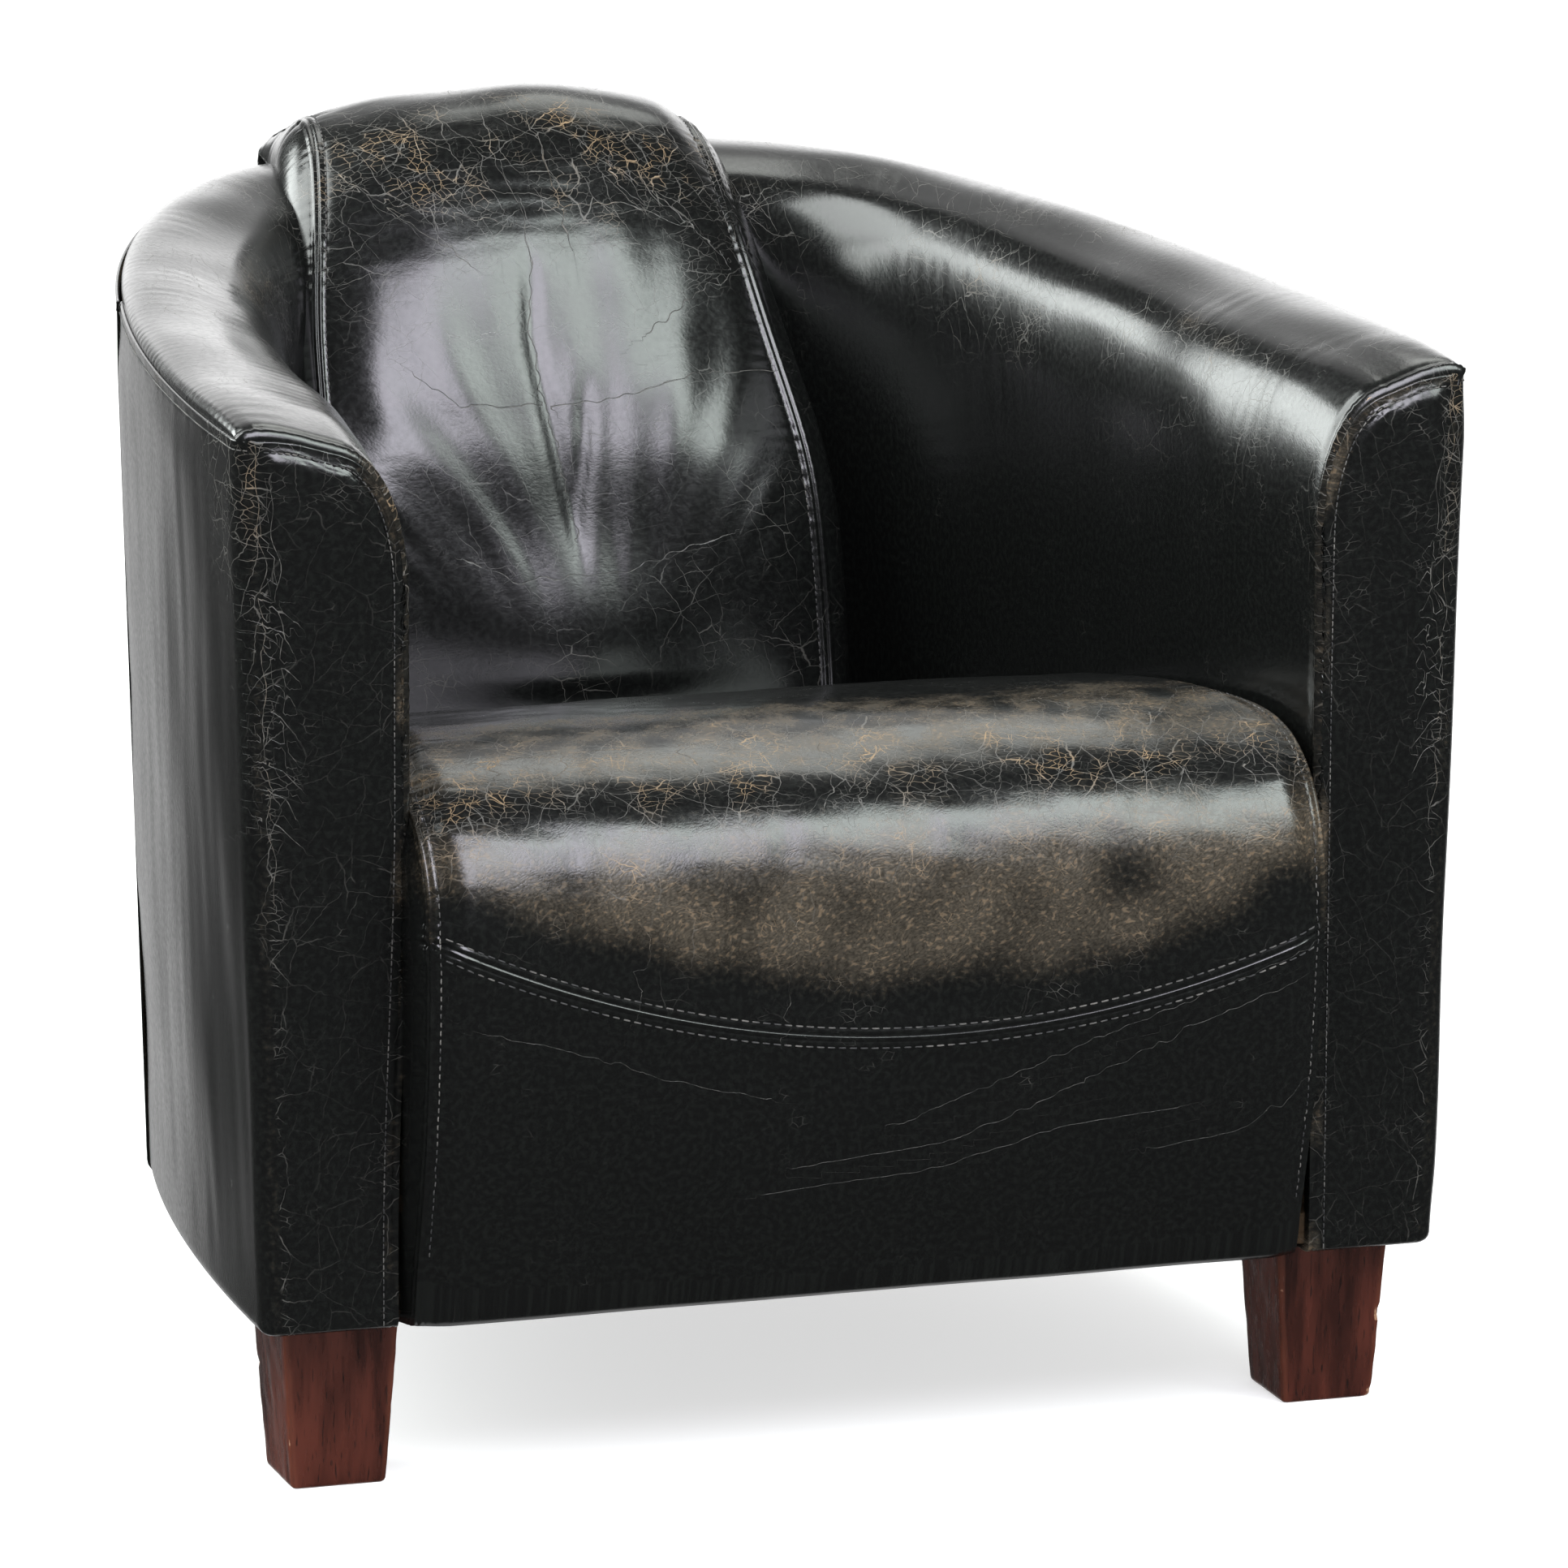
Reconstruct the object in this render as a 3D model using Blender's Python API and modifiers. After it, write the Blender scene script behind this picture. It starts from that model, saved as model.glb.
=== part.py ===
"""A leather tub chair on four tapered wooden legs, modelled in pieces at its real size.

Units are metres and +Z is up. The sitter faces -Y, the chair is the same on both sides of x = 0,
and the origin lies on the floor under the middle of the chair. Left means -X and right means +X.

The tub is a wall bent round the seat. Its outline in plan is a superellipse that is open at the
front. A place in the wall is given by three numbers: u runs along the outline (-1 left arm front,
0 middle of the back, 1 right arm front), depth runs from the outside leather in towards the seat,
and z is the height. Every piece of the tub is laid out in these numbers, from the outside leather
through the board, the rails and the foam to the inside leather.
"""
import math

import bmesh
import bpy
import numpy as np
from mathutils import Matrix

# Driving dimensions
WIDTH = 0.750                # over the arms
TUB_DEPTH = 0.750            # arm front to the outside of the back
SEAT_PROUD = 0.050           # how far the seat front stands out past the arm fronts
LEG_HEIGHT = 0.100
RIM_FRONT = 0.634            # height of the outer rim seam at the arm fronts
RIM_BACK = 0.668             # and at the middle of the back
OPENING = 0.562              # clear width between the arms at the front
INNER_DEPTH = 0.630          # arm front to the inside of the back, at the rim
OUTLINE_POWER = 3.1          # squareness of the tub's outline
INNER_POWER = 3.8            # and of the space inside it

# The tub wall
SIDE_TAPER = 0.013           # how much each side draws in from the rim to the bottom
ARM_SWELL = 0.015            # extra wall thickness behind the arm fronts
BACK_LEAN = 0.080            # slope of the inside of the back
CROWN_LIFT = 0.009           # rise of the rim roll above its seam
SHOULDER_DEEP = 0.044        # reach of the rounded inner shoulder, in depth
SHOULDER_TALL = 0.085        # and in height
SHOULDER_DROP = 0.012        # how far below the seam the shoulder starts
CORNER_RADIUS = 0.012        # front outer corner of each arm
HEM_RADIUS = 0.006           # leather turned under the bottom edge
BACK_SEAM_U = 0.560          # where the outside panels meet the outside back

# Materials' thicknesses and clearances
GAP = 0.0003
LEATHER = 0.0014
BOARD = 0.0050
LINING = 0.0030
PLYWOOD = 0.018
WALL_FOAM = 0.040
RAIL_THICK = 0.025
CLOTH = 0.0008
HALF_SEAM = 0.0008           # half the gap between two panels that meet at a seam

# Heights in the base
HEM_Z = LEG_HEIGHT + GAP + CLOTH + GAP
BASE_Z = HEM_Z + LEATHER + GAP
RAIL_LOW_Z = 0.166
RAIL_TOP_Z = 0.236
FRONT_RAIL_TOP_Z = 0.250
FOAM_FOOT_Z = 0.290
RIM_UNDER = 0.0353           # underside of the rim rail below the rim seam
RIM_TUCK = 0.0067            # top edge of the outside leather below the rim seam
BOARD_TUCK = 0.012           # and of the board behind it

# Seat cushion
SEAT_HALF = OPENING / 2 - 0.0025
SEAT_ROUND = 0.030
SEAT_SIDE = 0.044            # width of the side gussets
SEAT_SEAM_TURN = 0.55        # share of the rounded edge that lies on the front panel
ARC_LOW_Z = 0.262            # the curved seam across the seat front, at its middle
ARC_RISE = 0.060             # and how much higher it is at the sides

# Back cushion
PAD_ROUND = 0.026
PAD_SEAM_TURN = 0.25
PAD_SKIN = 0.0011            # the cushion starts this far off the inside leather
PAD_FOOT_Z = 0.366

# Springs
SPRING_WIRE = 0.0019         # radius
SPRING_HALF_WIDTH = 0.021
SPRING_BENDS = 15
SPRING_ARCH = 0.018          # rise of the springs between the rails
SPRING_X = (-0.165, -0.055, 0.055, 0.165)
CLIP_SIZE = (0.010, 0.022, 0.0012)

# The deck cloth lies this far above the middle of the springs
DECK_RISE = SPRING_WIRE + 2 * GAP + CLIP_SIZE[2] + 0.0006

# Legs
LEG_FOOT = 0.057
LEG_TOP = 0.070
LEG_FRONT = (0.308, -0.287)
LEG_REAR = (0.176, 0.262)
BOLT_RADIUS = 0.004
BOLT_LOW_Z = 0.045
BOLT_HIGH_Z = 0.140
BLOCK = (0.062, 0.034, 0.0443)

ARM_FRONT = SEAT_PROUD / 2 - TUB_DEPTH / 2
FRONT_RAIL_Y = ARM_FRONT + LEATHER + 2 * GAP + PLYWOOD
BACK_RAIL_Y = 0.170
DECK_Y = np.r_[ARM_FRONT + 0.0285, np.linspace(ARM_FRONT + 0.060, BACK_RAIL_Y + 0.020, 8)]
SIDES = (("left", -1), ("right", 1))


# ---------------------------------------------------------------- shape of the tub

def smoothstep(start, end, value):
    """0 at start, 1 at end, with a smooth change between."""
    t = np.clip((np.asarray(value, float) - start) / (end - start), 0.0, 1.0)
    return t * t * (3.0 - 2.0 * t)


def outline_table():
    """Right half of the outline |x / a|^p + (y / d)^2 = 1: share of its length, angle."""
    angle = np.linspace(0.0, math.pi / 2, 4001)
    x = WIDTH / 2 * np.cos(angle).clip(0.0) ** (2 / OUTLINE_POWER)
    y = TUB_DEPTH * np.sin(angle)
    along = np.r_[0.0, np.cumsum(np.hypot(np.diff(x), np.diff(y)))]
    return along / along[-1], angle


OUTLINE = outline_table()
WALL_STATIONS = np.linspace(-1.0, 1.0, 41)


def outline_unit(u):
    """The outline at u as shares of its half width and depth."""
    angle = np.interp(1.0 - np.abs(u), *OUTLINE)
    across = np.sign(u) * np.cos(angle).clip(0.0) ** (2 / OUTLINE_POWER)
    return across, np.sin(angle)


def outline_normal(u):
    """Direction square to the outline at u, towards the seat."""
    angle = np.interp(1.0 - np.abs(u), *OUTLINE)
    cosine = np.cos(angle).clip(1e-9)
    power = 2 / OUTLINE_POWER
    normal = np.stack([-np.sign(u) * TUB_DEPTH * cosine,
                       -WIDTH / 2 * power * cosine ** (power - 1) * np.sin(angle)], -1)
    return normal / np.linalg.norm(normal, axis=-1, keepdims=True)


def rim_z(u):
    """Height of the outer rim seam."""
    _, back = outline_unit(u)
    return RIM_FRONT + (RIM_BACK - RIM_FRONT) * back ** 2


def side_taper(z):
    """Depth of the outside leather: the sides draw in towards the bottom."""
    return SIDE_TAPER * np.clip((0.60 - np.asarray(z, float)) / 0.50, 0.0, 1.0)


def wall_frame(u, z):
    """Outline point, inside point and the thickness between them, square to the outline."""
    u, z = np.broadcast_arrays(np.asarray(u, float), np.asarray(z, float))
    across, back = outline_unit(u)
    outer = np.stack([across * WIDTH / 2, ARM_FRONT + TUB_DEPTH * back], -1)
    swell = ARM_SWELL * smoothstep(1.0, 0.80, np.abs(u)) * smoothstep(0.0, 0.45, np.abs(u))
    depth = INNER_DEPTH - BACK_LEAN * (rim_z(u) - z)
    inner_across = np.sign(across) * np.abs(across) ** (OUTLINE_POWER / INNER_POWER)
    inner = np.stack([inner_across * (OPENING / 2 - swell), ARM_FRONT + depth * back], -1)
    span = np.sum((inner - outer) * outline_normal(u), axis=-1)
    return outer, inner, span


def wall_depth(u, z):
    """Distance from the outline in to the inside leather."""
    return wall_frame(u, z)[2]


def stations(start, end):
    """Values of u from start to end: the two ends and the tub's common stations between, so that
    the layers of the wall stay parallel."""
    low, high = min(start, end), max(start, end)
    common = WALL_STATIONS[(WALL_STATIONS > low + 0.004) & (WALL_STATIONS < high - 0.004)]
    values = np.r_[low, common, high]
    return values if start < end else values[::-1]


def tub_point(u, depth, z):
    """A place in the tub wall as x, y, z."""
    u, depth, z = np.broadcast_arrays(*(np.asarray(v, float) for v in (u, depth, z)))
    outer, inner, span = wall_frame(u, z)
    spot = outer + (inner - outer) * (depth / span)[..., None]
    return np.concatenate([spot, z[..., None]], -1)


def bezier(start, first, second, end, count):
    """Points along a cubic Bezier curve."""
    t = np.linspace(0.0, 1.0, count)[:, None]
    start, first, second, end = (np.asarray(p, float) for p in (start, first, second, end))
    return ((1 - t) ** 3 * start + 3 * t * (1 - t) ** 2 * first
            + 3 * t ** 2 * (1 - t) * second + t ** 3 * end)


def inset(points, distance):
    """Move an open (depth, z) line to the right of its direction of travel."""
    tangent = np.gradient(points, axis=0)
    tangent /= np.linalg.norm(tangent, axis=1)[:, None]
    return points + distance * np.stack([tangent[:, 1], -tangent[:, 0]], 1)


def rim_section(u, distance=0.0):
    """Outer face of the inside leather over the rim: (depth, z) from the outer seam, over the
    roll, round the shoulder and onto the wall. A distance moves it into the padding."""
    rim = float(rim_z(u))
    lift = CROWN_LIFT * float(smoothstep(1.0, 0.95, abs(u)))
    centre_z = rim + lift - SHOULDER_DROP - SHOULDER_TALL
    thick = float(wall_depth(u, centre_z))
    shoulder = thick - SHOULDER_DEEP
    crown = bezier((0.0035, rim - 0.005), (0.0045, rim + lift + 0.003),
                   (shoulder - 0.022, rim + lift - 0.001),
                   (shoulder, rim + lift - SHOULDER_DROP), 6)
    turn = np.linspace(0.0, math.pi / 2, 6)[1:]
    depth = shoulder + SHOULDER_DEEP * np.sin(turn)
    height = centre_z + SHOULDER_TALL * np.cos(turn)
    return inset(np.vstack([crown, np.stack([depth, height], 1)]), distance)


def wall_section(u, foot, distance=0.0):
    """The rim section carried down the inside wall to the height foot."""
    rim = rim_section(u, distance)
    height = np.linspace(rim[-1, 1], foot, 5)[1:]
    depth = wall_depth(u, height) - distance
    return np.vstack([rim, np.stack([depth, height], 1)])


def inside_half_width(y, z):
    """Half the clear width between the inside leathers at a given y."""
    u = np.linspace(0.0, 1.0, 801)
    _, inner, _ = wall_frame(u, z)
    return float(np.interp(y, inner[::-1, 1], inner[::-1, 0]))


# ---------------------------------------------------------------- shape of the cushions

def smooth_curve(points, count):
    """Evenly spaced points along a Catmull-Rom curve through the given ones."""
    points = np.asarray(points, float)
    padded = np.vstack([2 * points[0] - points[1], points, 2 * points[-1] - points[-2]])
    t = np.linspace(0.0, 1.0, 24, endpoint=False)[:, None]
    pieces = []
    for a, b, c, d in zip(padded, padded[1:], padded[2:], padded[3:]):
        pieces.append(0.5 * (2 * b + (c - a) * t + (2 * a - 5 * b + 4 * c - d) * t ** 2
                             + (3 * b - a - 3 * c + d) * t ** 3))
    dense = np.vstack(pieces + [points[-1:]])
    along = np.r_[0.0, np.cumsum(np.linalg.norm(np.diff(dense, axis=0), axis=1))]
    wanted = np.linspace(0.0, along[-1], count)
    return np.stack([np.interp(wanted, along, dense[:, i]) for i in range(2)], 1)


# Seat cushion from the back edge, over the crown and down the front to the bottom, as (y, z)
SEAT_PROFILE = smooth_curve([(0.150, 0.352), (-0.050, 0.402), (-0.200, 0.428), (-0.290, 0.434),
                             (-0.352, 0.417), (-0.386, 0.385), (-0.399, 0.340), (-0.398, 0.280),
                             (-0.389, 0.210), (-0.374, 0.150), (-0.364, 0.116)], 401)
# Back cushion from its foot, up the front and over the rim to the outer seam, as (y, z)
PAD_PROFILE = smooth_curve([(0.119, 0.366), (0.144, 0.440), (0.170, 0.520), (0.196, 0.590),
                            (0.230, 0.650), (0.274, 0.695), (0.322, 0.713), (0.362, 0.704),
                            (0.390, 0.686), (0.3970, 0.670)], 401)


SEAT_ROWS = np.linspace(0.0, 1.0, 29)
PAD_ROWS = np.linspace(0.0, 1.0, 23)


def profile_at(profile, share):
    """Point and direction of travel on a cushion profile at a share of its length."""
    share = np.asarray(share, float)
    grid = np.linspace(0.0, 1.0, len(profile))
    tangent = np.gradient(profile, axis=0)
    tangent /= np.linalg.norm(tangent, axis=1)[:, None]
    spot = np.stack([np.interp(share, grid, profile[:, i]) for i in range(2)], -1)
    along = np.stack([np.interp(share, grid, tangent[:, i]) for i in range(2)], -1)
    return spot, along


def rounded_edge(turn, half, radius, side):
    """Across a cushion: distance from its middle and how far in from its face. turn runs 0 to 1
    over the flat part, 1 to 2 round the edge and 2 to 3 down the side."""
    turn = np.asarray(turn, float)
    angle = np.clip(turn - 1.0, 0.0, 1.0) * math.pi / 2
    across = (half - radius) * np.clip(turn, 0.0, 1.0) + radius * np.sin(angle)
    inward = radius * (1.0 - np.cos(angle)) + (side - radius) * np.clip(turn - 2.0, 0.0, 1.0)
    return across, inward


def share_at_height(profile, z, after):
    """Share of the profile's length where it comes down to height z, beyond a first share."""
    start = int(after * (len(profile) - 1))
    heights = profile[start:, 1]
    index = int(np.argmin(np.abs(heights - z)))
    return (start + index) / (len(profile) - 1)


def seat_point(turn, share, distance=0.0):
    """Face of the seat cushion; turn is signed, and a distance moves it into the foam."""
    turn, share = np.broadcast_arrays(np.asarray(turn, float), np.asarray(share, float))
    spot, along = profile_at(SEAT_PROFILE, share)
    across, inward = rounded_edge(np.abs(turn), SEAT_HALF - distance, SEAT_ROUND - distance,
                                  SEAT_SIDE)
    inward = inward + distance
    y = spot[..., 0] - along[..., 1] * inward
    z = spot[..., 1] + along[..., 0] * inward
    narrow = np.interp(spot[..., 0], SEAT_WIDTHS[0], SEAT_WIDTHS[1])
    return np.stack([np.sign(turn) * across * narrow, y, z], -1)


def seat_width_table():
    """Share of its full width that the seat cushion has at each y, to clear the tub wall."""
    y = np.linspace(ARM_FRONT - SEAT_PROUD, 0.16, 60)
    room = np.array([inside_half_width(v, 0.30) - 0.0040 for v in y])
    return y, np.minimum(1.0, room / SEAT_HALF)


SEAT_WIDTHS = seat_width_table()


def pad_half_width(share):
    """Half the width of the back cushion, from its foot to the outer seam."""
    return np.interp(share, (0.0, 0.30, 0.62, 1.0), (0.168, 0.165, 0.150, 0.143))


def pad_point(turn, share, distance=0.0):
    """Face of the back cushion; turn is signed, and a distance moves it into the foam."""
    turn, share = np.broadcast_arrays(np.asarray(turn, float), np.asarray(share, float))
    spot, along = profile_at(PAD_PROFILE, share)
    thin = 1.0 - 0.6 * smoothstep(0.90, 1.0, share)
    side = np.interp(share, PAD_ROWS, pad_side_table()) if np.max(np.abs(turn)) > 2.0 else 0.2
    across, inward = rounded_edge(np.abs(turn), pad_half_width(share) - distance,
                                  (PAD_ROUND - distance) * thin, side * thin)
    inward = inward + distance
    y = spot[..., 0] + along[..., 1] * inward
    z = spot[..., 1] - along[..., 0] * inward
    return np.stack([np.sign(turn) * across, y, z], -1)


# ---------------------------------------------------------------- making objects

def clear_scene():
    for thing in list(bpy.data.objects):
        bpy.data.objects.remove(thing, do_unlink=True)


def make_collection(name):
    collection = bpy.data.collections.new(name)
    bpy.context.scene.collection.children.link(collection)
    return collection


def material(name, colour, roughness, metallic=0.0):
    made = bpy.data.materials.new(name)
    made.use_nodes = True
    shader = made.node_tree.nodes["Principled BSDF"]
    shader.inputs["Base Color"].default_value = (*colour, 1.0)
    shader.inputs["Roughness"].default_value = roughness
    shader.inputs["Metallic"].default_value = metallic
    return made


LOOKS = {
    "leather": ((0.020, 0.020, 0.022), 0.35, 0.0),
    "mahogany": ((0.120, 0.028, 0.015), 0.35, 0.0),
    "pine": ((0.560, 0.380, 0.200), 0.70, 0.0),
    "plywood": ((0.480, 0.320, 0.180), 0.70, 0.0),
    "fibreboard": ((0.300, 0.200, 0.120), 0.80, 0.0),
    "foam": ((0.780, 0.700, 0.450), 0.90, 0.0),
    "hessian": ((0.450, 0.340, 0.200), 0.95, 0.0),
    "webbing": ((0.080, 0.075, 0.070), 0.80, 0.0),
    "cambric": ((0.030, 0.030, 0.032), 0.95, 0.0),
    "steel": ((0.450, 0.450, 0.460), 0.40, 1.0),
}


def add_object(name, data, look, collection):
    """Link an object with a material of its own."""
    made = bpy.data.objects.new(name, data)
    data.materials.append(material(f"{name}_{look}", *LOOKS[look]))
    collection.objects.link(made)
    return made


def smooth_mesh(mesh, angle=40.0):
    mesh.shade_smooth()
    mesh.set_sharp_from_angle(angle=math.radians(angle))


def sheet(name, points, thickness, look, collection, even=True):
    """A thin panel: a grid of points on its outer face, made solid towards its inner face."""
    rows, columns = points.shape[:2]
    index = np.arange(rows * columns).reshape(rows, columns)
    faces = np.stack([index[:-1, :-1], index[1:, :-1], index[1:, 1:], index[:-1, 1:]], -1)
    mesh = bpy.data.meshes.new(name)
    mesh.from_pydata(points.reshape(-1, 3).tolist(), [], faces.reshape(-1, 4).tolist())
    smooth_mesh(mesh)
    made = add_object(name, mesh, look, collection)
    solid = made.modifiers.new("thickness", "SOLIDIFY")
    solid.thickness = thickness
    solid.offset = -1.0
    solid.use_even_offset = even
    return made


def loft(name, rings, look, collection):
    """A solid through a row of closed rings with equal numbers of points."""
    rings = np.asarray(rings, float)
    count, size = rings.shape[:2]
    index = np.arange(count * size).reshape(count, size)
    after = np.roll(index, -1, axis=1)
    sides = np.stack([index[:-1], after[:-1], after[1:], index[1:]], -1).reshape(-1, 4)
    mesh = bpy.data.meshes.new(name)
    caps = [index[0, ::-1].tolist(), index[-1].tolist()]
    mesh.from_pydata(rings.reshape(-1, 3).tolist(), [], sides.tolist() + caps)
    work = bmesh.new()
    work.from_mesh(mesh)
    bmesh.ops.recalc_face_normals(work, faces=work.faces)
    work.to_mesh(mesh)
    work.free()
    smooth_mesh(mesh)
    return add_object(name, mesh, look, collection)


def box(name, size, location, look, collection, turn=0.0):
    """A plain block, turned about +Z."""
    work = bmesh.new()
    bmesh.ops.create_cube(work, size=1.0)
    bmesh.ops.scale(work, vec=size, verts=work.verts)
    mesh = bpy.data.meshes.new(name)
    work.to_mesh(mesh)
    work.free()
    made = add_object(name, mesh, look, collection)
    made.location = location
    made.rotation_euler.z = turn
    return made


def rod(name, radius, low, high, spot, look, collection):
    """An upright round bar from low to high."""
    work = bmesh.new()
    bmesh.ops.create_cone(work, cap_ends=True, segments=16, radius1=radius, radius2=radius,
                          depth=high - low)
    mesh = bpy.data.meshes.new(name)
    work.to_mesh(mesh)
    work.free()
    smooth_mesh(mesh)
    made = add_object(name, mesh, look, collection)
    made.location = (*spot, (low + high) / 2)
    return made


def plate(name, outlines, thickness, low, look, collection):
    """A flat board lying level: outlines in x, y, the later ones being holes in the first."""
    curve = bpy.data.curves.new(name, "CURVE")
    curve.dimensions = "2D"
    curve.fill_mode = "BOTH"
    curve.extrude = thickness / 2
    for outline in outlines:
        spline = curve.splines.new("POLY")
        spline.points.add(len(outline) - 1)
        spline.use_cyclic_u = True
        for point, (x, y) in zip(spline.points, outline):
            point.co = (x, y, 0.0, 1.0)
    made = add_object(name, curve, look, collection)
    made.location.z = low + thickness / 2
    return made


def drill(part, spots, cutters):
    """Bore upright holes for the leg bolts through a part."""
    for number, (x, y, low, high) in enumerate(spots):
        hole = rod(f"{part.name}_bore_{number}", BOLT_RADIUS + GAP, low, high, (x, y),
                   "steel", cutters)
        hole.hide_render = True
        hole.display_type = "WIRE"
        cut = part.modifiers.new(f"bore_{number}", "BOOLEAN")
        cut.object = hole
        cut.operation = "DIFFERENCE"
        cut.solver = "EXACT"


# ---------------------------------------------------------------- legs and base

def leg_spots():
    for end, (x, y) in (("front", LEG_FRONT), ("rear", LEG_REAR)):
        for side, sign in SIDES:
            yield f"{end}_{side}", (sign * x, y)


def make_legs(parts, cutters):
    """Four square tapered legs, each on a threaded bolt that runs up into a block."""
    for name, (x, y) in leg_spots():
        work = bmesh.new()
        bmesh.ops.create_cone(work, cap_ends=True, segments=4, radius1=LEG_FOOT / math.sqrt(2),
                              radius2=LEG_TOP / math.sqrt(2), depth=LEG_HEIGHT)
        bmesh.ops.rotate(work, verts=work.verts, cent=(0, 0, 0),
                         matrix=Matrix.Rotation(math.pi / 4, 3, "Z"))
        mesh = bpy.data.meshes.new(f"leg_{name}")
        work.to_mesh(mesh)
        work.free()
        leg = add_object(f"leg_{name}", mesh, "mahogany", parts)
        leg.location = (x, y, LEG_HEIGHT / 2)
        eased = leg.modifiers.new("eased_edges", "BEVEL")
        eased.width = 0.0025
        eased.segments = 2
        drill(leg, [(x, y, BOLT_LOW_Z - GAP, LEG_HEIGHT + 0.01)], cutters)
        rod(f"leg_bolt_{name}", BOLT_RADIUS, BOLT_LOW_Z, BOLT_HIGH_Z, (x, y), "steel", parts)


def circle(x, y, radius, count=16):
    turn = np.linspace(0.0, 2 * math.pi, count, endpoint=False)
    return list(zip(x + radius * np.cos(turn), y + radius * np.sin(turn)))


def tub_outline(depth, z, front):
    """Closed outline at a depth in the tub wall, cut off straight at the y of its front."""
    spots = tub_point(WALL_STATIONS[::-1], depth, z)[:, :2]
    keep = spots[:, 1] > front + 0.004
    edge = float(np.interp(front, *np.sort(spots[:4].T[::-1], axis=1)))
    return [(edge, front)] + spots[keep].tolist() + [(-edge, front)]


def make_base(parts, cutters):
    """Plywood ring under the tub, corner blocks on it, and the dust cover beneath."""
    bolts = [spot for _, spot in leg_spots()]
    holes = [circle(x, y, BOLT_RADIUS + GAP) for x, y in bolts]
    taper = float(side_taper(BASE_Z))
    ring_front = ARM_FRONT + LEATHER + GAP + PLYWOOD + GAP
    outer = tub_outline(taper + HEM_RADIUS + 0.0008, BASE_Z, ring_front)
    window = tub_outline(0.125, BASE_Z, ring_front + 0.070)
    plate("base_ring", [outer, window] + holes, PLYWOOD, BASE_Z, "plywood", parts)
    cover = tub_outline(taper + 0.012, BASE_Z, ARM_FRONT + 0.022)
    plate("dust_cover", [cover] + holes, CLOTH, LEG_HEIGHT + GAP, "cambric", parts)
    low = BASE_Z + PLYWOOD + GAP
    for name, (x, y) in leg_spots():
        size = (BLOCK[0], BLOCK[1] if "front" in name else BLOCK[0], BLOCK[2])
        block = box(f"leg_block_{name}", size, (x, y, low + BLOCK[2] / 2), "pine", parts)
        drill(block, [(x, y, low - 0.01, low + BLOCK[2] + 0.01)], cutters)


def arm_front_line(distance):
    """Top and shoulder of the right arm's front as (x, z), set in by a distance."""
    section = rim_section(1.0, distance)
    return np.stack([WIDTH / 2 - section[:, 0], section[:, 1]], 1)


def make_arm_boards(parts):
    """A plywood board shapes the front of each arm."""
    skin = LEATHER + GAP
    low = BASE_Z + 0.0045
    edge_x = WIDTH / 2 - skin - 0.010
    inner_x = OPENING / 2 + skin
    crown = [(x, z) for x, z in arm_front_line(skin) if x < edge_x]
    outer = [(edge_x - float(side_taper(z)), z) for z in (low, 0.35, 0.60)]
    outer.append((edge_x, crown[0][1] - 0.002))
    outline = outer + crown + [(inner_x, low)]
    for side, sign in SIDES:
        board = plate(f"arm_board_{side}", [[(sign * x, z) for x, z in outline]], PLYWOOD, 0.0,
                      "plywood", parts)
        board.rotation_euler.x = math.pi / 2
        board.location = (0.0, ARM_FRONT + skin + PLYWOOD / 2, 0.0)


# ---------------------------------------------------------------- the tub wall

def wall_bar(name, u_values, depths, heights, look, parts):
    """A bar bent along the wall: a rectangle of depths and heights that may vary with u."""
    rings = []
    for u in u_values:
        near, far = depths(u)
        low, high = heights(u)
        ring = [(near, low), (far, low), (far, high), (near, high)]
        rings.append([tub_point(u, d, z) for d, z in ring])
    return loft(name, rings, look, parts)


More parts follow.
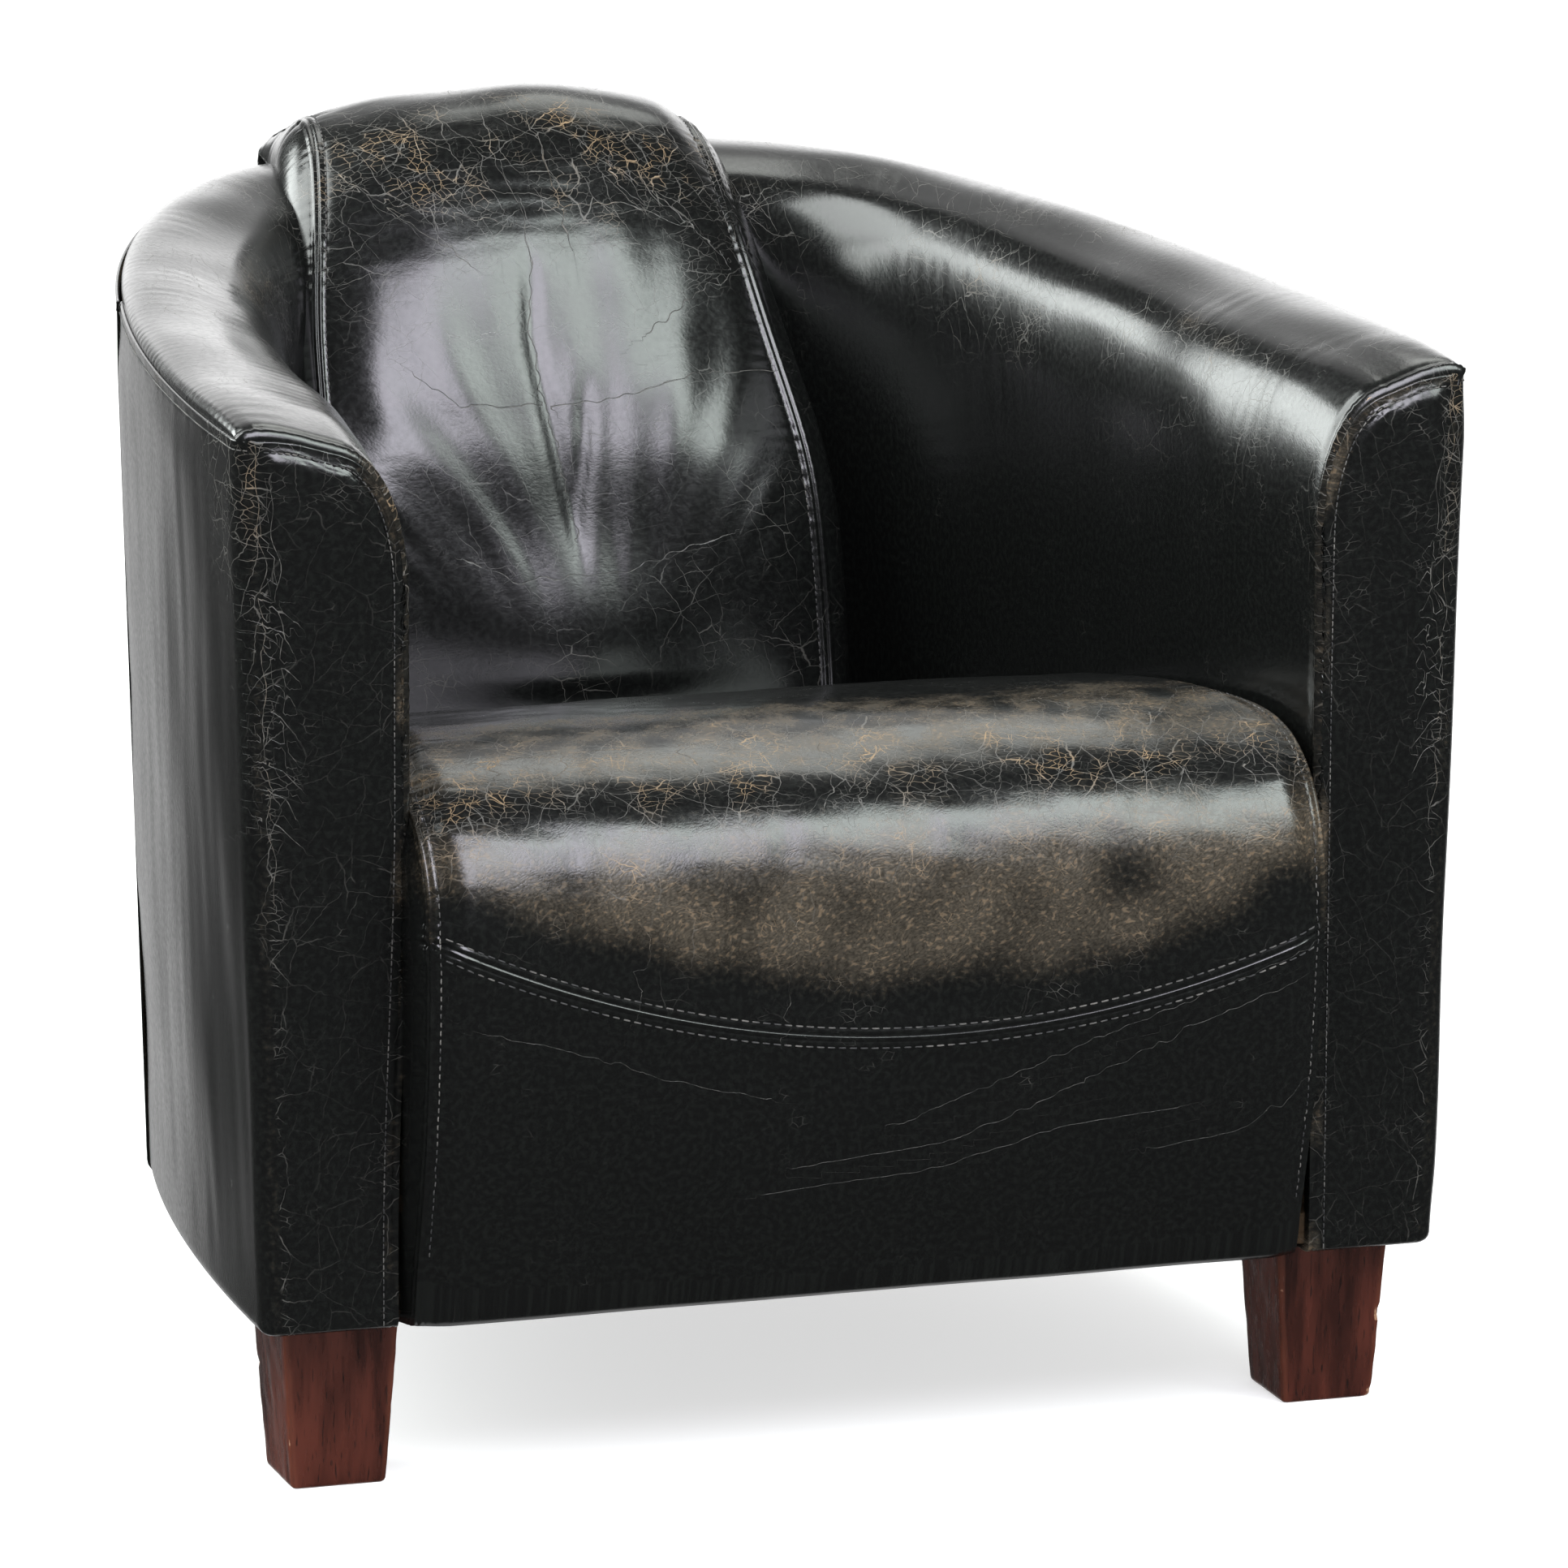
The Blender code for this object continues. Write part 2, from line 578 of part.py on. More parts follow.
def make_wall_frame(parts):
    """Rim rail, side rails, uprights and the board bent round the outside."""
    first = LEATHER + GAP
    rail_depth = first + BOARD + GAP
    foam_back = WALL_FOAM + LEATHER + 2 * GAP
    lining_face = foam_back + GAP + LINING + GAP
    start_u = inner_u_at_y(FRONT_RAIL_Y)

    def rim_depths(u):
        return rail_depth + GAP, wall_depth(u, rim_z(u)) - lining_face

    def rim_heights(u):
        return rim_z(u) - RIM_UNDER, rim_z(u) - RIM_UNDER + PLYWOOD

    wall_bar("rim_rail", stations(-start_u, start_u), rim_depths, rim_heights,
             "plywood", parts)

    rail_start = inner_u_at_y(FRONT_RAIL_Y + RAIL_THICK + GAP)
    for side, sign in SIDES:
        wall_bar(f"side_rail_{side}", sign * stations(rail_start, 0.24),
                 lambda u: (0.0215, wall_depth(u, rim_z(u)) - lining_face),
                 lambda u: (RAIL_LOW_Z, RAIL_TOP_Z), "pine", parts)

    board_u = u_at_y(ARM_FRONT + CORNER_RADIUS + 0.002)
    heights = np.array([BASE_Z + PLYWOOD + GAP, 0.30, 0.50, 0.60, 1.0])
    u, z = np.meshgrid(stations(-board_u, board_u), heights)
    z = np.where(z > 0.9, rim_z(u) - BOARD_TUCK, z)
    board = tub_point(u, side_taper(z) + first, z)
    sheet("tub_board", board, BOARD, "fibreboard", parts)

    for side, sign in SIDES:
        u, share = np.meshgrid(sign * stations(start_u, 0.40), np.linspace(0.0, 1.0, 3))
        low = FRONT_RAIL_TOP_Z + CLOTH
        z = low + share * (rim_z(u) - RIM_UNDER + PLYWOOD - low)
        face = tub_point(u, wall_depth(u, z) - foam_back - GAP, z)
        sheet(f"arm_lining_{side}", face if sign > 0 else face[::-1], LINING, "fibreboard",
              parts)

    for side, sign in SIDES:
        make_upright(f"back_upright_{side}", sign * 0.13, parts)

    for number, height in enumerate((0.380, 0.450, 0.520), start=1):
        u, z = np.meshgrid(stations(-0.30, 0.30), (height - 0.025, height + 0.025))
        face = tub_point(u, wall_depth(u, z) - foam_back - GAP, z)
        sheet(f"back_webbing_{number}", face[::-1], 0.0016, "webbing", parts)


def u_at_y(y):
    """The u on the right half of the outline at a given y."""
    u = np.linspace(0.0, 1.0, 2001)
    _, back = outline_unit(u)
    return float(np.interp(-y, -(ARM_FRONT + TUB_DEPTH * back), u))


def inner_u_at_y(y):
    """The u on the right half of the inside at a given y, at the rim."""
    u = np.linspace(0.5, 1.0, 2001)
    _, inner, _ = wall_frame(u, rim_z(u))
    return float(np.interp(-y, -inner[:, 1], u))


def make_upright(name, u, parts):
    """A post between the base ring and the rim rail, square to the wall."""
    spot = tub_point(u, 0.040, 0.3)
    inner = tub_point(u, 0.060, 0.3)
    turn = math.atan2(inner[1] - spot[1], inner[0] - spot[0])
    low = BASE_Z + PLYWOOD + GAP
    high = float(rim_z(u)) - RIM_UNDER - 0.0016
    size = (0.032, 0.030, high - low)
    box(name, size, (spot[0], spot[1], (low + high) / 2), "pine", parts, turn)


def make_wall_foam(parts):
    """Foam over the rim and down the inside: one piece for each arm and one for the back."""
    skin = LEATHER + 3 * GAP
    foam_back = WALL_FOAM + LEATHER + 2 * GAP
    rail_depth = LEATHER + BOARD + 3 * GAP

    def ring(u):
        face = wall_section(u, FOAM_FOOT_Z, skin)
        edge = float(np.interp(rail_depth, face[:4, 0], face[:4, 1])) - 0.001
        face = face[2:]
        bottom = float(rim_z(u)) - RIM_UNDER + PLYWOOD + GAP
        back = [(float(wall_depth(u, z)) - foam_back, z)
                for z in np.linspace(FOAM_FOOT_Z, bottom, 4)]
        line = [(rail_depth, bottom), (rail_depth, edge)] + face.tolist() + back
        return [tub_point(u, d, z) for d, z in line]

    start_u = inner_u_at_y(ARM_FRONT + LEATHER + 5 * GAP + PLYWOOD)
    split = 0.35
    for side, sign in SIDES:
        places = sign * stations(start_u, split + HALF_SEAM)
        loft(f"arm_foam_{side}", [ring(u) for u in places], "foam", parts)
    places = stations(-split + HALF_SEAM, split - HALF_SEAM)
    loft("back_foam", [ring(u) for u in places], "foam", parts)


def make_inside_covers(parts):
    """Inside leather of each half of the tub, from the outer rim seam to the foot."""
    for side, sign in SIDES:
        places = sign * stations(1.0, HALF_SEAM)
        rows = np.array([tub_point(u, *wall_section(u, FOAM_FOOT_Z - 0.004).T)
                         for u in places])
        points = rows.transpose(1, 0, 2)
        sheet(f"inside_cover_{side}", points if sign < 0 else points[:, ::-1], LEATHER,
              "leather", parts)


# columns across the arm front, as shares of its width
FRONT_STEPS = np.array([0.0, 0.04, 0.10, 0.20, 0.34, 0.52, 0.74, 1.0])
# the leather turned under the bottom edge: how far in and how high above the hem, inner edge first
HEM_TURN = ((0.0120, 0.0), (0.0060, 0.0), (0.0018, 0.0018))
OUTSIDE_HEIGHTS = (HEM_Z + HEM_RADIUS, 0.30, 0.60)


def outside_columns(z, shift=0.0):
    """The outside leather at one height, right side: arm front edge, corner, side. A shift moves
    it in under the chair."""
    edge_x = WIDTH / 2 - float(side_taper(z))
    corner_x = edge_x - CORNER_RADIUS
    corner_y = ARM_FRONT + CORNER_RADIUS
    radius = CORNER_RADIUS - shift
    inner_x = OPENING / 2 + LEATHER + GAP
    front = [(x, ARM_FRONT + shift) for x in inner_x + (corner_x - inner_x) * FRONT_STEPS]
    turns = np.linspace(0.0, math.pi / 2, 4)[1:]
    corner = [(corner_x + radius * math.sin(t), corner_y - radius * math.cos(t)) for t in turns]
    side_u = stations(u_at_y(corner_y), BACK_SEAM_U + 1.5 * HALF_SEAM)[1:]
    side = tub_point(side_u, side_taper(z) + shift, z)[:, :2]
    spots = np.array(front + corner + side.tolist())
    return np.column_stack([spots, np.full(len(spots), z)])


def outside_side_points():
    """Grid over the arm front, round the corner and along the side, hem first."""
    hems = [outside_columns(OUTSIDE_HEIGHTS[0], shift) for shift, _ in HEM_TURN]
    for hem, (_, rise) in zip(hems, HEM_TURN):
        hem[:, 2] = HEM_Z + rise
    grid = [outside_columns(z) for z in OUTSIDE_HEIGHTS]
    top = outside_columns(0.60)
    facing = len(FRONT_STEPS)
    section = arm_front_line(LEATHER + GAP)
    order = np.argsort(section[:, 0])
    crown = np.interp(top[:facing, 0], section[order, 0], section[order, 1])
    top[:facing, 2] = np.minimum(crown, RIM_FRONT - RIM_TUCK)
    top[facing:, 2] = [rim_z(u_at_y(y)) - RIM_TUCK for y in top[facing:, 1]]
    # under the low shoulder of the arm front the rows are drawn closer together
    low, high = OUTSIDE_HEIGHTS[0], OUTSIDE_HEIGHTS[-1] + 0.022
    for row in grid:
        row[:, 2] = low + (row[:, 2] - low) * np.minimum(1.0, (top[:, 2] - low) / (high - low))
    return np.array(hems + grid + [top])


def make_outside_covers(parts):
    """Outside leather: a panel for each arm front and side, and one across the back."""
    points = outside_side_points()
    for side, sign in SIDES:
        grid = points * (sign, 1.0, 1.0)
        sheet(f"outside_cover_{side}", grid if sign < 0 else grid[:, ::-1], LEATHER, "leather",
              parts)
    u = stations(-BACK_SEAM_U, BACK_SEAM_U)
    low = OUTSIDE_HEIGHTS[0]
    rows = [tub_point(u, side_taper(low) + shift, HEM_Z + rise) for shift, rise in HEM_TURN]
    rows += [tub_point(u, side_taper(z), z) for z in OUTSIDE_HEIGHTS]
    rows.append(tub_point(u, 0.0, rim_z(u) - RIM_TUCK))
    sheet("outside_back_cover", np.array(rows), LEATHER, "leather", parts)


# ---------------------------------------------------------------- seat

def make_seat_frame(parts):
    """Front rail, back rail, wavy springs between them on clips, and the deck cloth."""
    start = FRONT_RAIL_Y + RAIL_THICK / 2
    end = BACK_RAIL_Y + RAIL_THICK / 2
    for name, length, y, top in (("front_rail", 0.670, start, FRONT_RAIL_TOP_Z),
                                 ("back_rail", 0.410, end, RAIL_TOP_Z)):
        box(name, (length, RAIL_THICK, top - RAIL_LOW_Z), (0.0, y, (RAIL_LOW_Z + top) / 2),
            "pine", parts)
    for number, x in enumerate(SPRING_X, start=1):
        make_spring(f"seat_spring_{number}", x, start, end, parts)
        for place, y in (("front", start), ("back", end)):
            top = FRONT_RAIL_TOP_Z if place == "front" else RAIL_TOP_Z
            make_clip(f"spring_clip_{place}_{number}", x, y, top, parts)
    x, y = np.meshgrid((-0.205, 0.0, 0.205), DECK_Y)
    z = deck_height(y) + DECK_RISE + CLOTH
    deck = np.stack([x, y, z], -1)
    sheet("spring_cloth", deck[::-1], CLOTH, "hessian", parts)


def deck_height(y):
    """Height of the springs along y, from the front rail to the back rail."""
    start = FRONT_RAIL_Y + RAIL_THICK / 2
    end = BACK_RAIL_Y + RAIL_THICK / 2
    share = np.clip((np.asarray(y, float) - start) / (end - start), 0.0, 1.0)
    front = FRONT_RAIL_TOP_Z + GAP + SPRING_WIRE
    back = RAIL_TOP_Z + GAP + SPRING_WIRE
    return front + (back - front) * share + 4 * SPRING_ARCH * share * (1 - share)


def make_spring(name, x, start, end, parts):
    """A wavy wire spring: straight end, flat-topped waves, straight end."""
    margin = 0.020
    step = (end - start - 2 * margin) / SPRING_BENDS
    line = [(x - 0.010, start), (x + 0.014, start)]
    for bend in range(SPRING_BENDS):
        side = SPRING_HALF_WIDTH * (-1 if bend % 2 else 1)
        middle = start + margin + step * (bend + 0.5)
        line += [(x + side, middle - 0.22 * step), (x + side, middle + 0.22 * step)]
    line += [(x + 0.014, end), (x - 0.010, end)]
    curve = bpy.data.curves.new(name, "CURVE")
    curve.dimensions = "3D"
    curve.bevel_depth = SPRING_WIRE
    curve.bevel_resolution = 2
    curve.use_fill_caps = True
    spline = curve.splines.new("POLY")
    spline.points.add(len(line) - 1)
    for point, (px, py) in zip(spline.points, line):
        point.co = (px, py, float(deck_height(py)), 1.0)
    add_object(name, curve, "steel", parts)


def make_clip(name, x, y, top, parts):
    """A bent strap over the spring's end, standing on the rail on both sides of the wire."""
    width, length, thick = CLIP_SIZE
    foot = top + GAP
    roof = top + 2 * GAP + 2 * SPRING_WIRE + 0.0002
    reach = SPRING_WIRE + 0.0006
    outer = [(reach + thick, roof + thick), (reach + thick, foot + thick),
             (length / 2, foot + thick), (length / 2, foot)]
    inner = [(reach, foot), (reach, roof)]
    ring = ([(-d, h) for d, h in outer[::-1]] + outer + inner
            + [(-d, h) for d, h in inner[::-1]])
    rings = [[(x + side * width / 2, y + d, h) for d, h in ring] for side in (-1, 1)]
    loft(name, rings, "steel", parts)


def arc_share(turn):
    """Share of the seat profile at which the curved seam crosses it."""
    across, _ = rounded_edge(np.abs(turn), SEAT_HALF, SEAT_ROUND, SEAT_SIDE)
    height = ARC_LOW_Z + ARC_RISE * (across / SEAT_HALF) ** 2
    return np.array([share_at_height(SEAT_PROFILE, z, 0.6) for z in height])


def both_sides(turns):
    """Mirror a row of turns that starts at the middle."""
    return np.r_[-turns[:0:-1], turns]


def make_seat(parts):
    """Seat foam, front foam, and the leather: seat panel, front panel and two gussets."""
    skin = LEATHER + 0.0011
    flat = np.array([0.0, 0.34, 0.67, 1.0, 1.28, 1.0 + SEAT_SEAM_TURN])
    foam_turns = both_sides(np.r_[flat, 1.78, 2.0])
    split = share_at_height(SEAT_PROFILE, FRONT_RAIL_TOP_Z + 0.006, 0.6)
    top_rows = SEAT_ROWS[SEAT_ROWS < split - 0.01]
    low_rows = SEAT_ROWS[SEAT_ROWS > split + 0.01]
    front_y = ARM_FRONT + LEATHER + GAP + PLYWOOD

    def seat_ring(turn):
        face = seat_point(turn, np.r_[top_rows, split], skin)
        x, _, z = face[-1]
        floor_y = np.r_[front_y + 0.004, DECK_Y[1:-2], face[0, 1]]
        floor = deck_height(floor_y) + DECK_RISE + CLOTH + 3 * GAP
        floor_x = np.interp(floor_y, face[::-1, 1], face[::-1, 0])
        return face.tolist() + [(x, front_y, z)] + list(zip(floor_x, floor_y, floor))

    loft("seat_foam", [seat_ring(t) for t in foam_turns], "foam", parts)

    def front_ring(turn):
        face = seat_point(turn, np.r_[split + 0.002, low_rows], skin)
        x, _, z = face[-1]
        edge = front_y - GAP
        return face.tolist() + [(x, edge, z), (x, edge, face[0, 2])]

    loft("front_foam", [front_ring(t) for t in foam_turns], "foam", parts)

    turn = both_sides(flat)
    arc = arc_share(turn)
    upper = SEAT_ROWS[SEAT_ROWS < arc.min() - 0.02]
    between = upper[-1] + (arc - HALF_SEAM - upper[-1]) * np.linspace(0.0, 1.0, 5)[1:, None]
    rows = np.vstack([np.repeat(upper[:, None], len(turn), 1), between])
    sheet("seat_cover", seat_point(turn[None], rows), LEATHER, "leather", parts)

    lower = SEAT_ROWS[SEAT_ROWS > arc.max() + 0.02]
    first = arc + HALF_SEAM
    between = first + (lower[0] - first) * np.linspace(0.0, 1.0, 4)[:-1, None]
    rows = np.vstack([between, np.repeat(lower[:, None], len(turn), 1)])
    panel = seat_point(turn[None], rows)
    turned = panel[-1] + (0.0, HEM_RADIUS, 0.0)
    turned[:, 2] = HEM_Z + 0.0015
    under = turned.copy()
    under[:, 1] = ARM_FRONT + 0.0185
    under[:, 2] = HEM_Z
    panel = np.vstack([panel, turned[None], under[None]])
    sheet("front_cover", panel, LEATHER, "leather", parts)

    rows = SEAT_ROWS[SEAT_ROWS > 0.10]
    for side, sign in SIDES:
        turn = sign * np.r_[1.0 + SEAT_SEAM_TURN + 0.035, 1.78, 2.0, 3.0]
        points = seat_point(turn[None], rows[:, None])
        sheet(f"seat_gusset_{side}", points if sign > 0 else points[:, ::-1], LEATHER,
              "leather", parts)


# ---------------------------------------------------------------- back cushion

def tub_back_grid():
    """The inside leather round the back, moved off by a small gap: places along the tub by
    points of the section, from the outer seam over the rim roll and down the wall."""
    places = np.r_[HALF_SEAM, WALL_STATIONS[(WALL_STATIONS > 0.01) & (WALL_STATIONS < 0.61)]]
    return np.array([tub_point(u, *wall_section(u, PAD_FOOT_Z, -PAD_SKIN).T) for u in places])


BACK_GRID = tub_back_grid()


def tub_behind(x):
    """Points (y, z) of the tub behind the cushion at each section point, for one x or one each."""
    count = BACK_GRID.shape[1]
    x = np.broadcast_to(np.abs(x), count)
    return np.array([[np.interp(x[k], BACK_GRID[:, k, 0], BACK_GRID[:, k, i]) for i in (1, 2)]
                     for k in range(count)])


def pad_side_table():
    """How deep the cushion's sides are, from its face in to the tub, along its profile."""
    lengths = []
    for share in PAD_ROWS:
        half = float(pad_half_width(share))
        line = tub_behind(half)
        wall = line[int(np.argmax(line[:, 1])):][::-1]
        spot, along = profile_at(PAD_PROFILE, share)
        reach = PAD_ROUND
        for step in np.arange(PAD_ROUND, 0.120, 0.001):
            y = spot[0] + along[1] * step
            z = spot[1] - along[0] * step
            if z < wall[-1, 1] and y > np.interp(z, wall[:, 1], wall[:, 0]):
                break
            reach = step - 0.002
        lengths.append(reach)
    return np.array(lengths)


def make_back_cushion(parts):
    """Back cushion: foam shaped to the tub, a middle panel and a gusset down each side."""
    skin = LEATHER + 2 * GAP
    flat = np.array([0.0, 0.5, 1.0, 1.0 + PAD_SEAM_TURN])
    foam_turns = both_sides(np.r_[flat, 1.6, 2.0])
    foam_rows = PAD_ROWS[PAD_ROWS < 0.86]

    def ring(turn):
        face = pad_point(turn, foam_rows, skin)
        rear_x = 0.94 * np.interp(np.linspace(1.0, 0.0, BACK_GRID.shape[1]),
                                  np.linspace(0.0, 1.0, len(face)), face[:, 0])
        rear = np.column_stack([rear_x, tub_behind(rear_x)])
        return np.vstack([face, rear[2:]])

    loft("back_cushion_foam", [ring(t) for t in foam_turns], "foam", parts)

    turn = both_sides(flat)
    points = pad_point(turn[None], PAD_ROWS[:, None])
    sheet("back_cushion_cover", points[::-1], LEATHER, "leather", parts)
    for side, sign in SIDES:
        turn = sign * np.r_[1.0 + PAD_SEAM_TURN + 0.05, 1.6, 2.0, 3.0]
        points = pad_point(turn[None], PAD_ROWS[:, None])
        sheet(f"back_cushion_gusset_{side}", points[::-1, ::-1] if sign < 0 else points[::-1],
              LEATHER, "leather", parts, even=False)


def main():
    clear_scene()
    parts = make_collection("tub_chair")
    cutters = make_collection("cutters")
    make_legs(parts, cutters)
    make_base(parts, cutters)
    make_arm_boards(parts)
    make_wall_frame(parts)
    make_wall_foam(parts)
    make_inside_covers(parts)
    make_outside_covers(parts)
    make_seat_frame(parts)
    make_seat(parts)
    make_back_cushion(parts)


main()
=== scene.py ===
"""The looks of a worn black leather club chair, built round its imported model.

The chair is a tub: a padded wall bent round the seat, with a seat cushion whose front runs down to
the floor edge and a back cushion that rolls over the rim. Each cell below makes one piece or one
finish. Units are metres, +Z is up, the sitter faces -Y, and left means -X.
"""

# %% [markdown]
# # The frame
# The real chair is a wooden tub, padded and covered. Its exact pieces come packed in one model, and
# this script loads it first. The hidden woodwork stays as it is and only gets better finishes. What
# the eye sees, the leather and the legs, is built again in fine detail at the same place. The box
# round the model is measured and printed.

# %% Load the frame
import math

import bpy
import numpy as np
from mathutils import Matrix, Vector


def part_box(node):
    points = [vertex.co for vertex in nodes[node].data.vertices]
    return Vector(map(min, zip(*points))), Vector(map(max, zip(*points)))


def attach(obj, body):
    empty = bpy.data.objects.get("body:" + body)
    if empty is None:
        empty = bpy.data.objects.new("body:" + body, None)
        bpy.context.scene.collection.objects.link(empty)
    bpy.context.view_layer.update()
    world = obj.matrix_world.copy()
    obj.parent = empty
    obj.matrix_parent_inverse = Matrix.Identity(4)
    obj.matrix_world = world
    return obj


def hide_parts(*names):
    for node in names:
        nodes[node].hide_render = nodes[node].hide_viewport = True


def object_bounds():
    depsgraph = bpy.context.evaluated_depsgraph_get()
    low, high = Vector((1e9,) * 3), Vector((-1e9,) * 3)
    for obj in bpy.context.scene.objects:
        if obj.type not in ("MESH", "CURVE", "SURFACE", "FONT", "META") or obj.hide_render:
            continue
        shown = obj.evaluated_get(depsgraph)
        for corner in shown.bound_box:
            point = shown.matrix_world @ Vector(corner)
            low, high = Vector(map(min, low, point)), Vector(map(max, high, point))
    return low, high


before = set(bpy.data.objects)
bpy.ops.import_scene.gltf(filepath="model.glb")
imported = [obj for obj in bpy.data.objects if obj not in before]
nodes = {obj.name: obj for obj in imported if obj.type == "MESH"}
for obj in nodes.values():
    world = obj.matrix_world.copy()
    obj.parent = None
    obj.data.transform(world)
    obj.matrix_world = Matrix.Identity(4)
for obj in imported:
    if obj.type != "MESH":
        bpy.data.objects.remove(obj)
cad_box = [[float(v) for v in corner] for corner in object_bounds()]
scene = bpy.context.scene
print("frame", len(nodes), "nodes, box", np.round(cad_box, 4).tolist())

# %% [markdown]
# # The shape of the tub
# A tub chair is drawn on paper from two lines: the outline seen from above and the section through
# the wall. Both are formulas here. The outline is a superellipse, a circle whose corners are pushed
# out, open at the front. A place in the wall is given by u along the outline (-1 left arm front,
# 0 middle of the back, 1 right arm front), depth from the outside leather inwards, and height z.
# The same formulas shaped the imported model, so every detailed piece lands where it should.

# %% Outline and wall
WIDTH = cad_box[1][0] - cad_box[0][0]
TUB_DEPTH, SEAT_PROUD = 0.750, 0.050
ARM_FRONT = SEAT_PROUD / 2 - TUB_DEPTH / 2
RIM_FRONT, RIM_BACK = 0.634, 0.668
OPENING, INNER_DEPTH = 0.562, 0.630
OUTLINE_POWER, INNER_POWER = 3.1, 3.8
SIDE_TAPER, ARM_SWELL, BACK_LEAN = 0.013, 0.015, 0.080
CROWN_LIFT, SHOULDER_DEEP, SHOULDER_TALL, SHOULDER_DROP = 0.009, 0.044, 0.085, 0.012
CORNER_RADIUS, HEM_RADIUS, BACK_SEAM_U = 0.012, 0.006, 0.560
HEM_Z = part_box("outside_cover_left")[0].z
SIDES = (("left", -1), ("right", 1))


def smoothstep(start, end, value):
    """0 at start, 1 at end, with a smooth change between."""
    t = np.clip((np.asarray(value, float) - start) / (end - start), 0.0, 1.0)
    return t * t * (3.0 - 2.0 * t)


def unit(vectors):
    """Each vector brought to length 1."""
    return vectors / np.linalg.norm(vectors, axis=-1, keepdims=True).clip(1e-12)


def bump(value, middle, width):
    """A bell curve: 1 at the middle, falling away over the width."""
    return np.exp(-(((np.asarray(value, float) - middle) / width) ** 2))


angle = np.linspace(0.0, math.pi / 2, 6001)
edge_x = WIDTH / 2 * np.cos(angle).clip(0.0) ** (2 / OUTLINE_POWER)
edge_y = TUB_DEPTH * np.sin(angle)
along = np.r_[0.0, np.cumsum(np.hypot(np.diff(edge_x), np.diff(edge_y)))]
HALF_LENGTH = float(along[-1])
OUTLINE = (along / HALF_LENGTH, angle)


def outline_unit(u):
    """|x|^p + y^2 = 1, walked at an even pace: x and y as shares of half width and depth."""
    turn = np.interp(1.0 - np.abs(u), *OUTLINE)
    return np.sign(u) * np.cos(turn).clip(0.0) ** (2 / OUTLINE_POWER), np.sin(turn)


def outline_normal(u):
    """Direction square to the outline at u, towards the seat."""
    cosine = np.cos(np.interp(1.0 - np.abs(u), *OUTLINE)).clip(1e-9)
    sine = np.sqrt(1.0 - cosine ** 2)
    power = 2 / OUTLINE_POWER
    return unit(np.stack([-np.sign(u) * TUB_DEPTH * cosine,
                          -WIDTH / 2 * power * cosine ** (power - 1) * sine], -1))


def rim_z(u):
    """Height of the outer rim seam: it climbs with the square of the way to the back."""
    return RIM_FRONT + (RIM_BACK - RIM_FRONT) * outline_unit(u)[1] ** 2


def side_taper(z):
    """How far the outside leather has drawn in at height z."""
    return SIDE_TAPER * np.clip((0.60 - np.asarray(z, float)) / 0.50, 0.0, 1.0)


def wall_frame(u, z):
    """Outline point, inside point and the thickness between them, square to the outline."""
    u, z = np.broadcast_arrays(np.asarray(u, float), np.asarray(z, float))
    across, back = outline_unit(u)
    outer = np.stack([across * WIDTH / 2, ARM_FRONT + TUB_DEPTH * back], -1)
    swell = ARM_SWELL * smoothstep(1.0, 0.80, np.abs(u)) * smoothstep(0.0, 0.45, np.abs(u))
    depth = INNER_DEPTH - BACK_LEAN * (rim_z(u) - z)
    inner_across = np.sign(across) * np.abs(across) ** (OUTLINE_POWER / INNER_POWER)
    inner = np.stack([inner_across * (OPENING / 2 - swell), ARM_FRONT + depth * back], -1)
    return outer, inner, np.sum((inner - outer) * outline_normal(u), axis=-1)


def tub_point(u, depth, z):
    """A place in the tub wall as x, y, z: outer + (inner - outer) * depth / thickness."""
    u, depth, z = np.broadcast_arrays(*(np.asarray(v, float) for v in (u, depth, z)))
    outer, inner, span = wall_frame(u, z)
    spot = outer + (inner - outer) * (depth / span)[..., None]
    return np.concatenate([spot, z[..., None]], -1)


print(f"outline: half its length is {HALF_LENGTH:.3f} m, rim {rim_z(1.0):.3f} to {rim_z(0.0):.3f}")

# %% [markdown]
# # Tools for surfaces
# Leather over padding is a smooth surface with small things on it: seams, stitches, pulls, folds.
# Each piece is a grid of points from a formula. The small things are heights that move the points
# along the surface's normal. Random-looking swells are sums of sine waves with seeded directions,
# which are smooth everywhere and the same each run.

# %% Grid helpers
def ripple(place, wavelength, seed, count=28):
    """Smooth random height of about unit size: the sum of many sine waves, each with its own
    direction, length near the wavelength and phase, over the root of their number."""
    place = np.asarray(place, float)
    rng = np.random.default_rng(seed)
    heading = unit(rng.normal(size=(count, place.shape[-1])))
    wave = 2 * math.pi / wavelength * rng.uniform(0.55, 1.6, count)
    phase = rng.uniform(0.0, 2 * math.pi, count)
    return np.sin(place @ (heading * wave[:, None]).T + phase).sum(-1) * math.sqrt(2 / count)


def ripple_line(value, wavelength, seed):
    """The same along one number."""
    return ripple(np.asarray(value, float)[..., None], wavelength, seed, 20)


def grid_normals(points, around=False):
    """Unit normals of a grid: the cross product of its two directions. A grid that runs around
    a closed ring takes its differences across the joint too."""
    rows = np.gradient(points, axis=0)
    if around:
        columns = np.roll(points, -1, axis=1) - np.roll(points, 1, axis=1)
    else:
        columns = np.gradient(points, axis=1)
    return unit(np.cross(rows, columns))


def grid_faces(rows, columns, around=False):
    """Quads between the points of a grid, numbered row by row."""
    index = np.arange(rows * columns).reshape(rows, columns)
    if around:
        index = np.hstack([index, index[:, :1]])
    return np.stack([index[:-1, :-1], index[1:, :-1], index[1:, 1:], index[:-1, 1:]],
                    -1).reshape(-1, 4)


